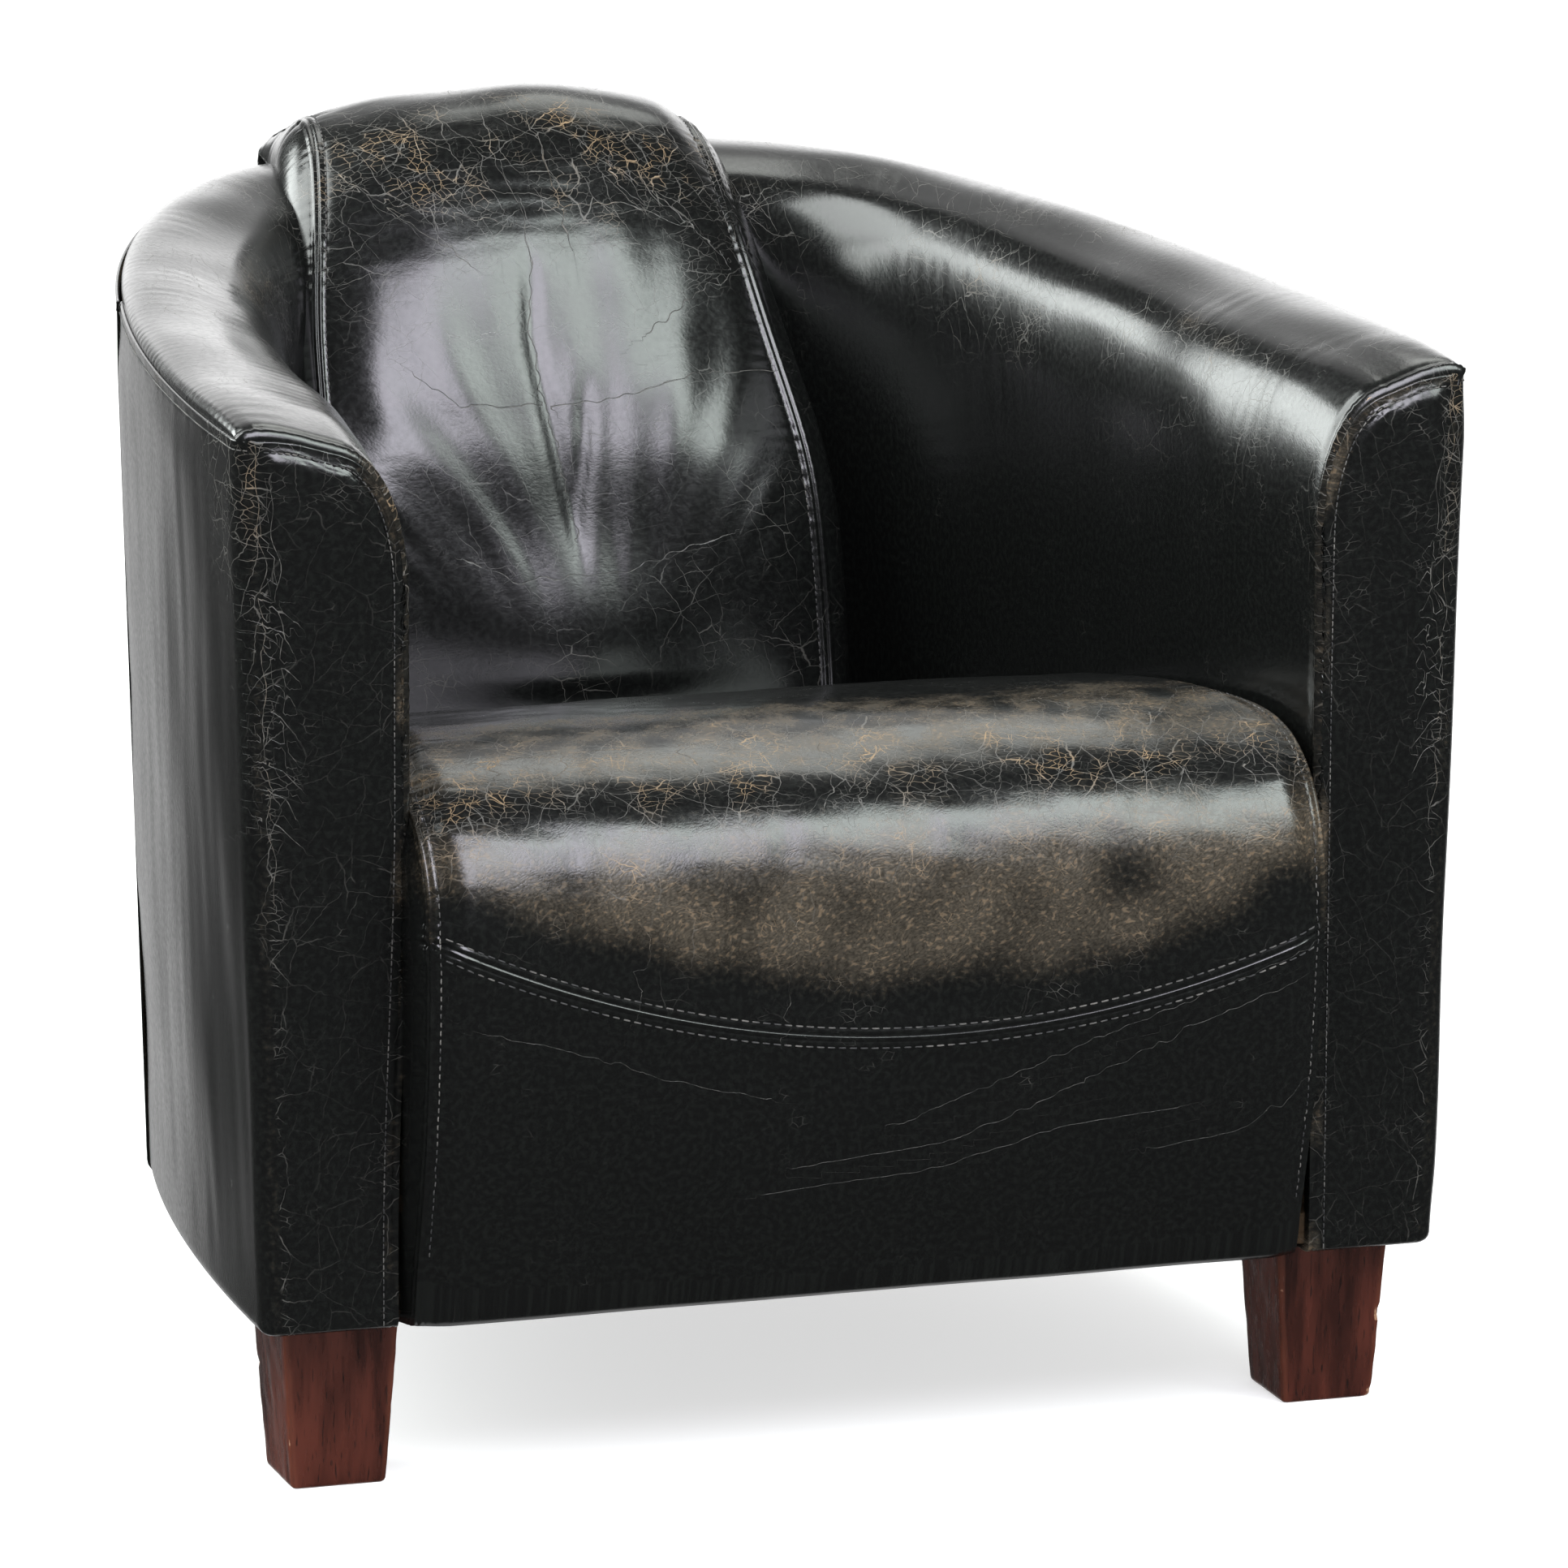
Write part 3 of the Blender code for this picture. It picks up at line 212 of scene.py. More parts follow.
def sample(grid, row, column):
    """Value of a grid between its points: the four neighbours weighed by nearness."""
    i = np.clip(row, 0, grid.shape[0] - 1.001)
    j = np.clip(column, 0, grid.shape[1] - 1.001)
    a, b = i.astype(int), j.astype(int)
    s, t = (i - a)[:, None], (j - b)[:, None]
    return ((1 - s) * ((1 - t) * grid[a, b] + t * grid[a, b + 1])
            + s * ((1 - t) * grid[a + 1, b] + t * grid[a + 1, b + 1]))


def walked(line):
    """Length along a line up to each of its points."""
    return np.r_[0.0, np.cumsum(np.linalg.norm(np.diff(line, axis=0), axis=1))]


def even_steps(line, pitch):
    """Points about a pitch apart along a line, with the length up to each."""
    reach = walked(line)
    at = np.linspace(0.0, reach[-1], max(2, int(round(reach[-1] / pitch)) + 1))
    return np.stack([np.interp(at, reach, line[:, i]) for i in range(line.shape[1])], 1), at


def steps(*parts):
    """A row of values from (end, step) pairs, starting at the first number."""
    values = [np.array([parts[0]])]
    for end, step in parts[1:]:
        start = values[-1][-1]
        count = max(1, int(round(abs(end - start) / step)))
        values.append(np.linspace(start, end, count + 1)[1:])
    return np.concatenate(values)


def end_caps(rows, columns):
    """Faces that close the first and the last ring of a grid."""
    return [list(range(columns))[::-1], list(range((rows - 1) * columns, rows * columns))]


def flip(faces, yes):
    """Turn faces inside out if asked."""
    return faces[:, ::-1] if yes else faces


def make_piece(name, points, faces, material, attributes=(), caps=(), stands_for=(),
               sharp=None):
    """A mesh object at the origin from points and quads. Attributes are one value a point, which
    its material reads; caps are extra faces as lists of point numbers."""
    mesh = bpy.data.meshes.new(name)
    mesh.from_pydata(points.reshape(-1, 3).tolist(), [], faces.tolist() + [list(c) for c in caps])
    for key, values in dict(attributes).items():
        values = np.asarray(values, np.float32)
        kind = "FLOAT_VECTOR" if values.shape[-1] == 3 and values.ndim > 1 else "FLOAT"
        values = values.reshape(len(mesh.vertices), -1)
        mesh.attributes.new(key, kind, "POINT").data.foreach_set(
            "vector" if kind == "FLOAT_VECTOR" else "value", values.ravel())
    mesh.shade_smooth()
    if sharp:
        mesh.set_sharp_from_angle(angle=math.radians(sharp))
    mesh.materials.append(material)
    made = bpy.data.objects.new(name, mesh)
    scene.collection.objects.link(made)
    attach(made, "root")
    if stands_for:
        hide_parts(*stands_for)
    print(f"{name}: {len(mesh.vertices)} points, {len(mesh.polygons)} faces")
    return made


def make_padded(name, points, flipped, attributes, stands_for):
    """A closed leather body from rings of points, with a cap at each end."""
    first, last = end_caps(*points.shape[:2])
    caps = [first[::-1], last[::-1]] if flipped else [first, last]
    faces = flip(grid_faces(*points.shape[:2], around=True), flipped)
    return make_piece(name, points, faces, LEATHER, attributes, caps, stands_for)


def thicken(made, name, thickness, offset):
    """Give a thin piece its thickness: offset -1 keeps its outer face, 0 its middle."""
    thick = made.modifiers.new(name, "SOLIDIFY")
    thick.thickness, thick.offset = thickness, offset


def skin_place(a, b, shift):
    """Coordinates on the leather in metres, moved so that no two panels match."""
    a, b = np.broadcast_arrays(a, b)
    return np.stack([a + shift, b + 0.37 * shift, np.full(a.shape, shift)], -1)


def stitches(name, rows, material, radius=0.00042, length=0.0030, rise=0.00025):
    """Thread stitches along lines: each is a short tube of five sides whose ends dive into the
    leather. rows holds (points, normals) of the needle holes' middles."""
    spot, up = (np.concatenate(part) for part in zip(*rows))
    ahead = unit(np.concatenate([np.gradient(line, axis=0) for line, _ in rows]))
    side = unit(np.cross(up, ahead))
    up = np.cross(ahead, side)
    run = np.array([-0.52, -0.38, 0.0, 0.38, 0.52]) * length
    high = np.array([-0.8, 0.5, 1.0, 0.5, -0.8]) * rise
    thick = np.array([0.55, 1.0, 1.0, 1.0, 0.55]) * radius
    rings, sides = len(run), 5
    turn = np.arange(sides) * 2 * math.pi / sides
    points = (spot[:, None, None] + ahead[:, None, None] * run[:, None, None]
              + up[:, None, None] * (high[:, None] + thick[:, None] * np.sin(turn))[..., None]
              + side[:, None, None] * (thick[:, None] * np.cos(turn))[..., None])
    first = np.arange(len(spot))[:, None] * rings * sides
    faces = (first[..., None] + grid_faces(rings, sides, around=True)).reshape(-1, 4)
    caps = np.vstack([first + cap for cap in end_caps(rings, sides)])
    return make_piece(name, points, faces[:, ::-1], material,
                      caps=caps[:, ::-1].tolist())


def straight_parts(x, y, line):
    """For each straight part of a line: how far every point is from it, how far along the line
    the nearest place is, and on which side of it the point lies."""
    reached = 0.0
    for (ax, ay), (bx, by) in zip(line[:-1], line[1:]):
        length = math.hypot(bx - ax, by - ay)
        t = (((x - ax) * (bx - ax) + (y - ay) * (by - ay)) / length ** 2).clip(0.0, 1.0)
        gap = np.hypot(x - ax - t * (bx - ax), y - ay - t * (by - ay))
        side = np.where((x - ax) * (by - ay) < (y - ay) * (bx - ax), -1.0, 1.0)
        yield gap, reached + t * length, side
        reached += length


def line_length(line):
    """Length of a line of straight parts."""
    return sum(math.hypot(bx - ax, by - ay) for (ax, ay), (bx, by) in zip(line[:-1], line[1:]))


def line_distance(x, y, line):
    """Distance from each point to a line of straight parts, and how far along it the foot is."""
    best = np.full(np.shape(x), 9.0)
    along_line = np.zeros(np.shape(x))
    for gap, at, _ in straight_parts(x, y, line):
        nearer = gap < best
        best = np.where(nearer, gap, best)
        along_line = np.where(nearer, at, along_line)
    return best, along_line


def strokes(x, y, lines, thin=1.0):
    """Distance to the nearest of several cracks, negative on one side of it, so that it passes
    through 0 between two points of a grid. It grows towards a crack's ends, which taper."""
    nearest = np.ones(np.broadcast(x, y).shape)
    for line in lines:
        whole = line_length(line)
        for gap, at, side in straight_parts(x, y, line):
            gap = gap * thin + 0.0004 * np.abs(2 * at / whole - 1.0) ** 3
            nearest = np.where(gap < np.abs(nearest), gap * side, nearest)
    return nearest


# %% [markdown]
# # Finishes as sums
# A procedural finish is arithmetic on patterns: how dark, how rough, how deep at each point. Drawn
# as nodes it becomes a web that nobody can read. Here one small class wraps a node's socket, so
# that `crack * wear + 0.2` in Python adds the Math nodes by itself, and one function adds any
# other node.

# %% Sockets that can be added and multiplied
def operator(operation, swapped=False):
    """A method of Wire that adds one Math node."""
    def method(self, other):
        return self.math(operation, *((other, self) if swapped else (self, other)))
    return method


class Wire:
    """A node's output that can stand in a sum."""

    def __init__(self, socket):
        self.socket = socket

    def math(self, operation, *values):
        return node(self.socket.id_data, "ShaderNodeMath", {"operation": operation}, values)

    __add__ = __radd__ = operator("ADD")
    __mul__ = __rmul__ = operator("MULTIPLY")
    __sub__, __rsub__ = operator("SUBTRACT"), operator("SUBTRACT", swapped=True)
    __truediv__, __pow__ = operator("DIVIDE"), operator("POWER")
    most, least = operator("MAXIMUM"), operator("MINIMUM")

    def size(self):
        return self.math("ABSOLUTE", self)

    def between(self, low, high):
        """0 below low, 1 above high, smooth between; low may be the larger."""
        return node(self.socket.id_data, "ShaderNodeMapRange",
                    {"interpolation_type": "SMOOTHSTEP"},
                    {"Value": self, "From Min": low, "From Max": high})


def node(tree, kind, settings=None, values=(), out=0):
    """Add a node: its settings first, then the values or wires of its inputs, by name or order."""
    made = tree.nodes.new(kind)
    for key, value in (settings or {}).items():
        setattr(made, key, value)
    pairs = values.items() if isinstance(values, dict) else enumerate(values)
    for key, value in pairs:
        if isinstance(value, Wire):
            tree.links.new(value.socket, made.inputs[key])
        elif value is not None:
            made.inputs[key].default_value = value
    return Wire(made.outputs[out])


def rgba(colour):
    """A colour as an input takes it: a wire as it is, three numbers with full cover."""
    return colour if isinstance(colour, Wire) else (*colour, 1.0)


def new_finish(name):
    """An empty material and the patterns that every finish here is made from."""
    material = bpy.data.materials.new(name)
    material.use_nodes = True
    tree = material.node_tree
    tree.nodes.clear()

    def noise(place, scale, detail=3.0, rough=0.55, out=0, **more):
        return node(tree, "ShaderNodeTexNoise", more,
                    {"Vector": place, "Scale": scale, "Detail": detail, "Roughness": rough}, out)

    def cells(place, scale, feature="F1", flat=False):
        return node(tree, "ShaderNodeTexVoronoi",
                    {"feature": feature, "voronoi_dimensions": "2D" if flat else "3D"},
                    {"Vector": place, "Scale": scale})

    def shade(colour, other, share):
        """Mix two colours; each may be a wire or three numbers."""
        return node(tree, "ShaderNodeMix", {"data_type": "RGBA"},
                    {0: share, 6: rgba(colour), 7: rgba(other)}, 2)

    def move(place, other, operation="ADD", scale=None):
        """Vector arithmetic."""
        return node(tree, "ShaderNodeVectorMath", {"operation": operation},
                    {0: place, 1: other, "Scale": scale})

    def wander(place, scale, amount):
        """The place pushed about by noise, so that straight lines of a pattern turn irregular."""
        push = noise(place, scale, 1.0, out=1, noise_dimensions="2D")
        return move(place, move(move(push, (-0.5, -0.5, -0.5)), None, "SCALE", amount))

    def attribute(key, out=2):
        return node(tree, "ShaderNodeAttribute", {"attribute_name": key}, (), out)

    def finish(colour, rough, height=None, depth=0.0004, strength=1.0, **values):
        """The shader at the end: colour and roughness wires, and a height that bends the light."""
        inputs = {"Roughness": rough, "Base Color": rgba(colour), **values}
        if height is not None:
            inputs["Normal"] = node(tree, "ShaderNodeBump", {}, {
                "Height": height, "Distance": depth, "Strength": strength})
        shader = node(tree, "ShaderNodeBsdfPrincipled", {}, inputs)
        output = tree.nodes.new("ShaderNodeOutputMaterial")
        tree.links.new(shader.socket, output.inputs["Surface"])
        return material

    def place():
        return node(tree, "ShaderNodeTexCoord", {}, (), 3)

    return dict(noise=noise, cells=cells, shade=shade, move=move, wander=wander,
                attribute=attribute, finish=finish, place=place, tree=tree)


# %% [markdown]
# # Black leather that has been sat on for years
# The hide was dyed black and sealed with a thin gloss. Where it bends, the seal cracks: first long
# thin lines, then a net between them, with grey or tan leather in the cracks. Where hands and legs
# rub, the black goes brown and the grain shows as slanted pebbles. The panels bring four numbers for
# each point: `skin`, a place on the leather in metres; `craze`, how cracked it is; `rub`, how far it
# is rubbed brown; and `scar`, the distance to the nearest long crack. The edges of Voronoi cells make
# the cracks: they branch as real ones do, and stay crisp at any size, which an image could not
# without weighing megabytes. Three sizes of cell lie over each other, each broken up by noise.

# %% Leather
FLAT_NOISE, FLAT_CELLS = {"noise_dimensions": "2D"}, {"flat": True}
BROWN, TAN = (0.0520, 0.0420, 0.0290), (0.150, 0.100, 0.056)
DRY_GREY, DRY_TAN = (0.092, 0.088, 0.080), (0.255, 0.172, 0.092)


def leather_finish(name, base=(0.0030, 0.0032, 0.0031), gloss=0.215):
    f = new_finish(name)
    skin, place = f["attribute"]("skin", 1), f["place"]()
    craze, rub, scar = (f["attribute"](key) for key in ("craze", "rub", "scar"))
    bent = f["wander"](skin, 42.0, 0.0090)
    loose = f["wander"](bent, 260.0, 0.0016)
    patch = f["noise"](place, 16.0, 1.0)
    speckle = f["noise"](skin, 260.0, 1.0, **FLAT_NOISE)
    gap = f["noise"](skin, 62.0, 1.0, **FLAT_NOISE)

    def laid(turn, longer):
        """The leather's coordinates turned, and drawn out along one direction."""
        return node(f["tree"], "ShaderNodeMapping", {"vector_type": "TEXTURE"}, {
            "Vector": loose, "Rotation": (0.0, 0.0, turn), "Scale": (longer, 1.0, 1.0)})

    def cracks(cell, width, turn, longer):
        """The lines between cells of a size."""
        edge = f["cells"](laid(turn, longer), 1.0 / cell, "DISTANCE_TO_EDGE", **FLAT_CELLS)
        return 1.0 - edge.between(0.25 * width / cell, width / cell)

    opened = craze + (patch - 0.5) * 0.8
    slant = cracks(0.0210, 0.00024, 0.30, 2.8) * (gap + craze * 0.3).between(0.34, 0.60)
    cross = cracks(0.0150, 0.00022, -1.10, 3.0) * (craze * 0.3 - gap).between(-0.60, -0.40)
    net = cracks(0.0042, 0.00022, 0.2, 1.7) * (opened * 0.9 + gap).between(0.70, 1.30)
    ragged = scar.size() + (speckle - 0.5) * 0.0007
    scratch = 1.0 - ragged.between(0.00006, 0.00046)
    stroke = scratch * (0.35 + gap.between(0.34, 0.56) * 0.55)
    long_lines = slant.most(cross) * craze.between(0.03, 0.60) * 0.80
    lines = long_lines.most(net * 0.60).most(stroke)

    pebble = f["cells"](laid(-0.35, 1.7), 780.0, **FLAT_CELLS)
    worn = (rub + (patch - 0.5) * 0.20 + (speckle - 0.5) * 0.26).between(0.08, 0.90)
    grain = f["noise"](laid(-0.35, 1.8), 420.0, 1.0, **FLAT_NOISE)
    brown = worn * (1.0 - 0.40 * pebble.between(0.22, 0.62))
    brown = brown * (0.76 + grain.between(0.30, 0.70) * 0.26)
    greyer = (base[0] * 1.5, base[1] * 1.6, base[2] * 1.5)
    tan_dots = worn * (grain + speckle * 0.5).between(0.86, 1.00) * 0.4
    tan_net = worn.most(craze.between(0.45, 0.95)) * gap.between(0.42, 0.60)
    tan = tan_net.most(stroke * craze.between(0.3, 0.8) * 0.8)
    colour = f["shade"](base, greyer, speckle.between(0.4, 0.7))
    colour = f["shade"](colour, BROWN, brown)
    colour = f["shade"](colour, TAN, tan_dots)
    dry = f["shade"](DRY_GREY, DRY_TAN, tan)
    colour = f["shade"](colour, dry, lines)
    rough = gloss + (patch - 0.5) * 0.08 + (speckle - 0.5) * 0.10 + brown * 0.16 + lines * 0.30
    height = pebble * (-0.16 - 0.5 * rub) - scratch * 1.1 + speckle * 0.35
    return f["finish"](colour, rough.most(0.08).least(0.9), height, 0.00016, 0.70)


LEATHER = leather_finish("black_leather")


# %% [markdown]
# # Thread
# The seams are sewn with a black bonded thread. It is a millimetre thick at most, so all it needs
# is a tight twist that breaks up the light, and a little grey where it has rubbed.

# %% Thread
def thread_finish():
    """Black twist with worn grey patches."""
    f = new_finish("black_thread")
    place = f["place"]()
    twist = f["noise"](place, 2600.0, 1.0)
    worn = f["noise"](place, 60.0, 2.0).between(0.40, 0.70)
    colour = f["shade"]((0.026, 0.026, 0.027), (0.105, 0.099, 0.091), worn)
    return f["finish"](colour, 0.45 + twist * 0.25, twist, 0.0002)


THREAD = thread_finish()


# %% [markdown]
# # The wood of the legs and of the frame
# Mahogany is stained dark red-brown and lacquered. Its grain runs down the leg as long streaks with
# fine pores, and the lacquer has worn pale at the edges. The hidden frame is plain pine and plywood.
# One function draws all of them: noise stretched along the grain, coloured by a ramp.

# %% Wood
def wood_finish(name, dark, light, grain_scale, rough, stretch, ring=8.0, edges=False):
    """Streaks are noise on coordinates squeezed along the grain: (x, y, z) * stretch."""
    f = new_finish(name)
    place = f["place"]()
    long = node(f["tree"], "ShaderNodeMapping", {}, {"Vector": place, "Scale": stretch})
    streak = f["noise"](long, grain_scale, 5.0, 0.6)
    pore = f["noise"](long, grain_scale * 9.0, 2.0).between(0.60, 0.72)
    cloud = f["noise"](place, ring, 2.0)
    colour = f["shade"](dark, light, (streak + (cloud - 0.5) * 0.5).between(0.30, 0.72))
    colour = f["shade"](colour, tuple(0.35 * v for v in dark), pore * 0.8)
    shine = rough + (streak - 0.5) * 0.12 + pore * 0.15
    if edges:
        edge = f["attribute"]("edge")
        chip = (edge + (f["noise"](place, 150.0, 4.0, 0.65) - 0.5) * 1.5).between(1.24, 1.36)
        haze = (edge + (f["noise"](place, 45.0, 3.0) - 0.5) * 0.9).between(0.45, 1.2)
        colour = f["shade"](colour, (0.120, 0.034, 0.016), haze * 0.30)
        colour = f["shade"](colour, (0.26, 0.14, 0.075), chip * 0.8)
        shine = shine + chip * 0.4
    return f["finish"](colour, shine, streak - pore, 0.0003, 0.6)


MAHOGANY = wood_finish("dark_mahogany", (0.0130, 0.0040, 0.0030), (0.062, 0.0135, 0.0075), 16.0, 0.27,
                       (4.0, 4.0, 0.45), edges=True)
PINE = wood_finish("pine", (0.42, 0.25, 0.12), (0.66, 0.47, 0.27), 14.0, 0.70, (1.0, 5.0, 5.0))
PLYWOOD = wood_finish("plywood", (0.36, 0.22, 0.12), (0.60, 0.42, 0.25), 22.0, 0.72, (3.0, 3.0, 14.0))


# %% [markdown]
# # The other hidden materials
# Under the chair and inside it are hardboard, foam, jute cloth, woven straps, black dust cloth and
# oiled steel. A finish seen only in a gap or from below still needs its scale right: a weave is two
# crossed wave patterns, board is short fibres, foam is open cells.

# %% Cloth, board, foam and steel
def weave_finish(name, dark, light, pitch, rough=0.9):
    """Two crossed sets of waves; the higher thread shows at each crossing, and painted shade darkens
    the lower one.
    """
    f = new_finish(name)
    place = f["place"]()
    bands = [node(f["tree"], "ShaderNodeTexWave", {"bands_direction": axis},
                  {"Vector": place, "Scale": 0.157 / pitch, "Distortion": 0.6,
                   "Detail Scale": 2.0}, 1) for axis in ("X", "Y")]
    height = bands[0].most(bands[1])
    # painted shade: lighter where the threads lie high, darker where they lie low, varied by noise
    colour = f["shade"](dark, light, height * f["noise"](place, 300.0, 2.0).between(0.2, 0.9))
    return f["finish"](colour, rough + height * 0.05, height, 0.0004)


def board_finish(name, dark, light):
    """Pressed fibres: fine noise both for colour and for height."""
    f = new_finish(name)
    fibre = f["noise"](f["place"](), 420.0, 4.0, 0.7)
    colour = f["shade"](dark, light, fibre.between(0.35, 0.65))
    return f["finish"](colour, 0.75 + fibre * 0.15, fibre, 0.0003)


def foam_finish():
    """Open cells, with painted shade darkening their pits."""
    f = new_finish("foam")
    pit = f["cells"](f["place"](), 700.0)
    # painted shade: the pits, sunk by the bump, are coloured darker than the cell walls
    colour = f["shade"]((0.42, 0.34, 0.16), (0.72, 0.62, 0.38), pit.between(0.1, 0.6))
    return f["finish"](colour, 0.9 - pit * 0.05, pit, 0.0006)


def steel_finish():
    """Bright wire under a film of oil, with dull brown spots."""
    f = new_finish("oiled_steel")
    place = f["place"]()
    spot = f["noise"](place, 90.0, 4.0, 0.6).between(0.52, 0.70)
    colour = f["shade"]((0.42, 0.42, 0.43), (0.12, 0.085, 0.060), spot)
    return f["finish"](colour, 0.32 + spot * 0.35, spot, 0.0002, Metallic=1.0 - spot * 0.7)


HARDBOARD = board_finish("hardboard", (0.16, 0.10, 0.055), (0.34, 0.23, 0.13))
FOAM, STEEL = foam_finish(), steel_finish()
HESSIAN = weave_finish("jute_cloth", (0.16, 0.11, 0.06), (0.50, 0.38, 0.22), 0.0018)
STRAP = weave_finish("woven_strap", (0.018, 0.017, 0.016), (0.13, 0.12, 0.11), 0.0022)
DUST_CLOTH = weave_finish("black_dust_cloth", (0.006, 0.006, 0.006), (0.045, 0.045, 0.046), 0.0009)
MADE_OF = {
    "leg_bolt": STEEL, "seat_spring": STEEL, "spring_clip": STEEL, "leg_block": PINE,
    "side_rail": PINE, "back_upright": PINE, "front_rail": PINE, "back_rail": PINE,
    "base_ring": PLYWOOD, "arm_board": PLYWOOD, "rim_rail": PLYWOOD, "tub_board": HARDBOARD,
    "arm_lining": HARDBOARD, "back_webbing": STRAP, "spring_cloth": HESSIAN, "dust_cover": DUST_CLOTH,
    "arm_foam": FOAM, "back_foam": FOAM, "seat_foam": FOAM, "front_foam": FOAM,
    "back_cushion_foam": FOAM, "leg_front": MAHOGANY, "leg_rear": MAHOGANY,
}
for name, thing in nodes.items():
    start = next((key for key in MADE_OF if name.startswith(key)), None)
    thing.data.materials.clear()
    thing.data.materials.append(MADE_OF.get(start, LEATHER))
print("finishes on", len(nodes), "nodes")

# %% [markdown]
# # The padded inside of the tub
# On the real chair the inside leather starts at the outer rim seam, rolls over the padded rim and
# runs down behind the cushions. Left and right halves meet behind the back cushion. Each half is
# made as one closed, padded body: a section line for every place along the tub, from the seam over
# the roll and the shoulder, down the wall, and back up behind the foam. The first steps behind the
# arm front are fine, because the edge there is rounded and gathered.

# %% Sections of the padded wall
FOOT_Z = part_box("inside_cover_left")[0].z
FOAM_BACK = 0.040 + 0.0014 + 2 * 0.0003
RIM_UNDER = 0.0353 - 0.018
CROWN = np.linspace(0.0, 1.0, 27) ** 1.15
TURN = np.linspace(0.0, math.pi / 2, 34)[1:]
WALL = steps(0.0, (0.70, 0.0125), (1.0, 0.05))[1:]
BEHIND = 7  # points on the way back up behind the foam
ARM_TOP_Z = (0.44, 0.56)  # the arm front's bulge grows between these heights


def soften(lines, spacing, reach):
    """Blend each row of a stack of lines with its neighbours: a bell of weights whose width is
    the reach at that row, so a reach of 0 leaves the row alone."""
    gap = spacing[:, None] - spacing[None, :]
    weights = np.exp(-0.5 * (gap / np.maximum(reach, 1e-5)[:, None]) ** 2)
    return lines @ (weights / weights.sum(1, keepdims=True)).T


def padded_section(u):
    """(depth, z) for each u: a cubic from the seam over the roll, a quarter ellipse round the
    shoulder, and the sloping wall down to the foot, blended where they meet."""
    u = np.atleast_1d(u)[:, None]
    rim = rim_z(u)
    ahead = ((1.0 - np.abs(u)) / 0.085).clip(0.0, 1.0)
    top = rim + CROWN_LIFT * ahead * (2.0 - ahead)
    centre = top - SHOULDER_DROP - SHOULDER_TALL
    shoulder = wall_frame(u, centre)[2] - SHOULDER_DEEP
    a, b, c, d = ((1 - CROWN) ** 3, 3 * CROWN * (1 - CROWN) ** 2, 3 * CROWN ** 2 * (1 - CROWN),
                  CROWN ** 3)
    depth = a * 0.0012 + b * 0.0034 + c * (shoulder - 0.022) + d * shoulder
    height = a * (rim - 0.0054) + b * (top + 0.003) + c * (top - 0.001) + d * (top - SHOULDER_DROP)
    wall = centre + (FOOT_Z - centre) * WALL
    depth = np.hstack([depth, shoulder + SHOULDER_DEEP * np.sin(TURN), wall_frame(u, wall)[2]])
    height = np.hstack([height, centre + SHOULDER_TALL * np.cos(TURN), wall])
    middle = len(depth) // 2
    spacing = np.r_[0.0, np.cumsum(np.hypot(np.diff(depth[middle]), np.diff(height[middle])))]
    reach = 0.0075 * smoothstep(0.002, 0.035, spacing) * smoothstep(0.0, 0.05, spacing[-1] - spacing)
    return soften(depth, spacing, reach), soften(height, spacing, reach), spacing


front_line = padded_section(np.array([1.0]))
ARM_TOP = np.stack([WIDTH / 2 - front_line[0][0], front_line[1][0]], 1)
print(f"arm front: {len(ARM_TOP)} points, top {ARM_TOP[:, 1].max():.3f} m")

# %% [markdown]
# ## Edges, pulls and creases on the arms
# A seam pulls the leather down into a groove and gathers it in short pulls square to the stitches.
# Over years the roll sags between them and creases across its length. Each of those is a height:
# a groove is a bell curve of the distance to the seam, pulls are waves along the seam that fade
# with that distance, and creases are waves along the arm, stretched over the roll.

# %% Height of the inside leather
BEAD = 0.0042


def inside_height(sign, s, a, spot):
    """s is the distance behind the arm front, a the distance from the outer rim seam."""
    pulls = ripple_line(s, 0.0085, 11 + sign) * np.exp(-a / 0.011)
    front = ripple_line(a, 0.0065, 21 + sign) * np.exp(-s / 0.009) * smoothstep(0.0, 0.004, s)
    across = ripple(np.stack([s, a * 0.22], -1), 0.020, 31 + sign)
    across = across * smoothstep(0.2, 1.0, ripple(spot, 0.16, 41 + sign) * 0.5 + 0.5)
    swell = ripple(spot, 0.11, 51 + sign)
    roll = smoothstep(0.004, 0.03, a) * smoothstep(0.26, 0.10, a)
    height = 0.00010 * pulls + 0.00032 * front + 0.00005 * across * roll + 0.0004 * swell * roll
    height = height - 0.0011 * bump(s, 0.0085, 0.0030) * smoothstep(0.0, 0.01, a)
    height = height - 0.0004 * np.exp(-((a / 0.0020) ** 2)) * smoothstep(0.0, 0.006, s)
    return height


def inside_wear(sign, s, a, spot):
    """Craze and rub: the shoulder and the roll are cracked, the front of the roll rubbed."""
    cloud = ripple(spot, 0.09, 61 + sign)
    roll = smoothstep(0.0, 0.02, a) * smoothstep(0.24, 0.12, a)
    craze = 0.20 * roll + 0.10 * cloud * roll + 0.30 * bump(a, 0.105, 0.022) * (0.6 + 0.4 * cloud)
    craze = craze + 0.25 * np.exp(-s / 0.02) * smoothstep(0.10, 0.13, a)
    rub = 0.24 * np.exp(-s / 0.010) * smoothstep(0.05, 0.08, a) + 0.05 * roll * cloud
    rub = rub + 0.22 * bump(a, 0.088, 0.010) * smoothstep(0.4, 1.4, cloud + 0.2)
    return craze, rub


def leant(points, sign):
    """The left arm has slumped inwards at its front by 8 mm; the right one stands straight."""
    amount = 0.0080 if sign < 0 else 0.0
    share = (smoothstep(0.372, 0.305, np.abs(points[..., 0])) * smoothstep(0.14, 0.42, points[..., 2])
             * smoothstep(ARM_FRONT + 0.30, ARM_FRONT + 0.04, points[..., 1]))
    points = points.copy()
    points[..., 0] += amount * share
    return points


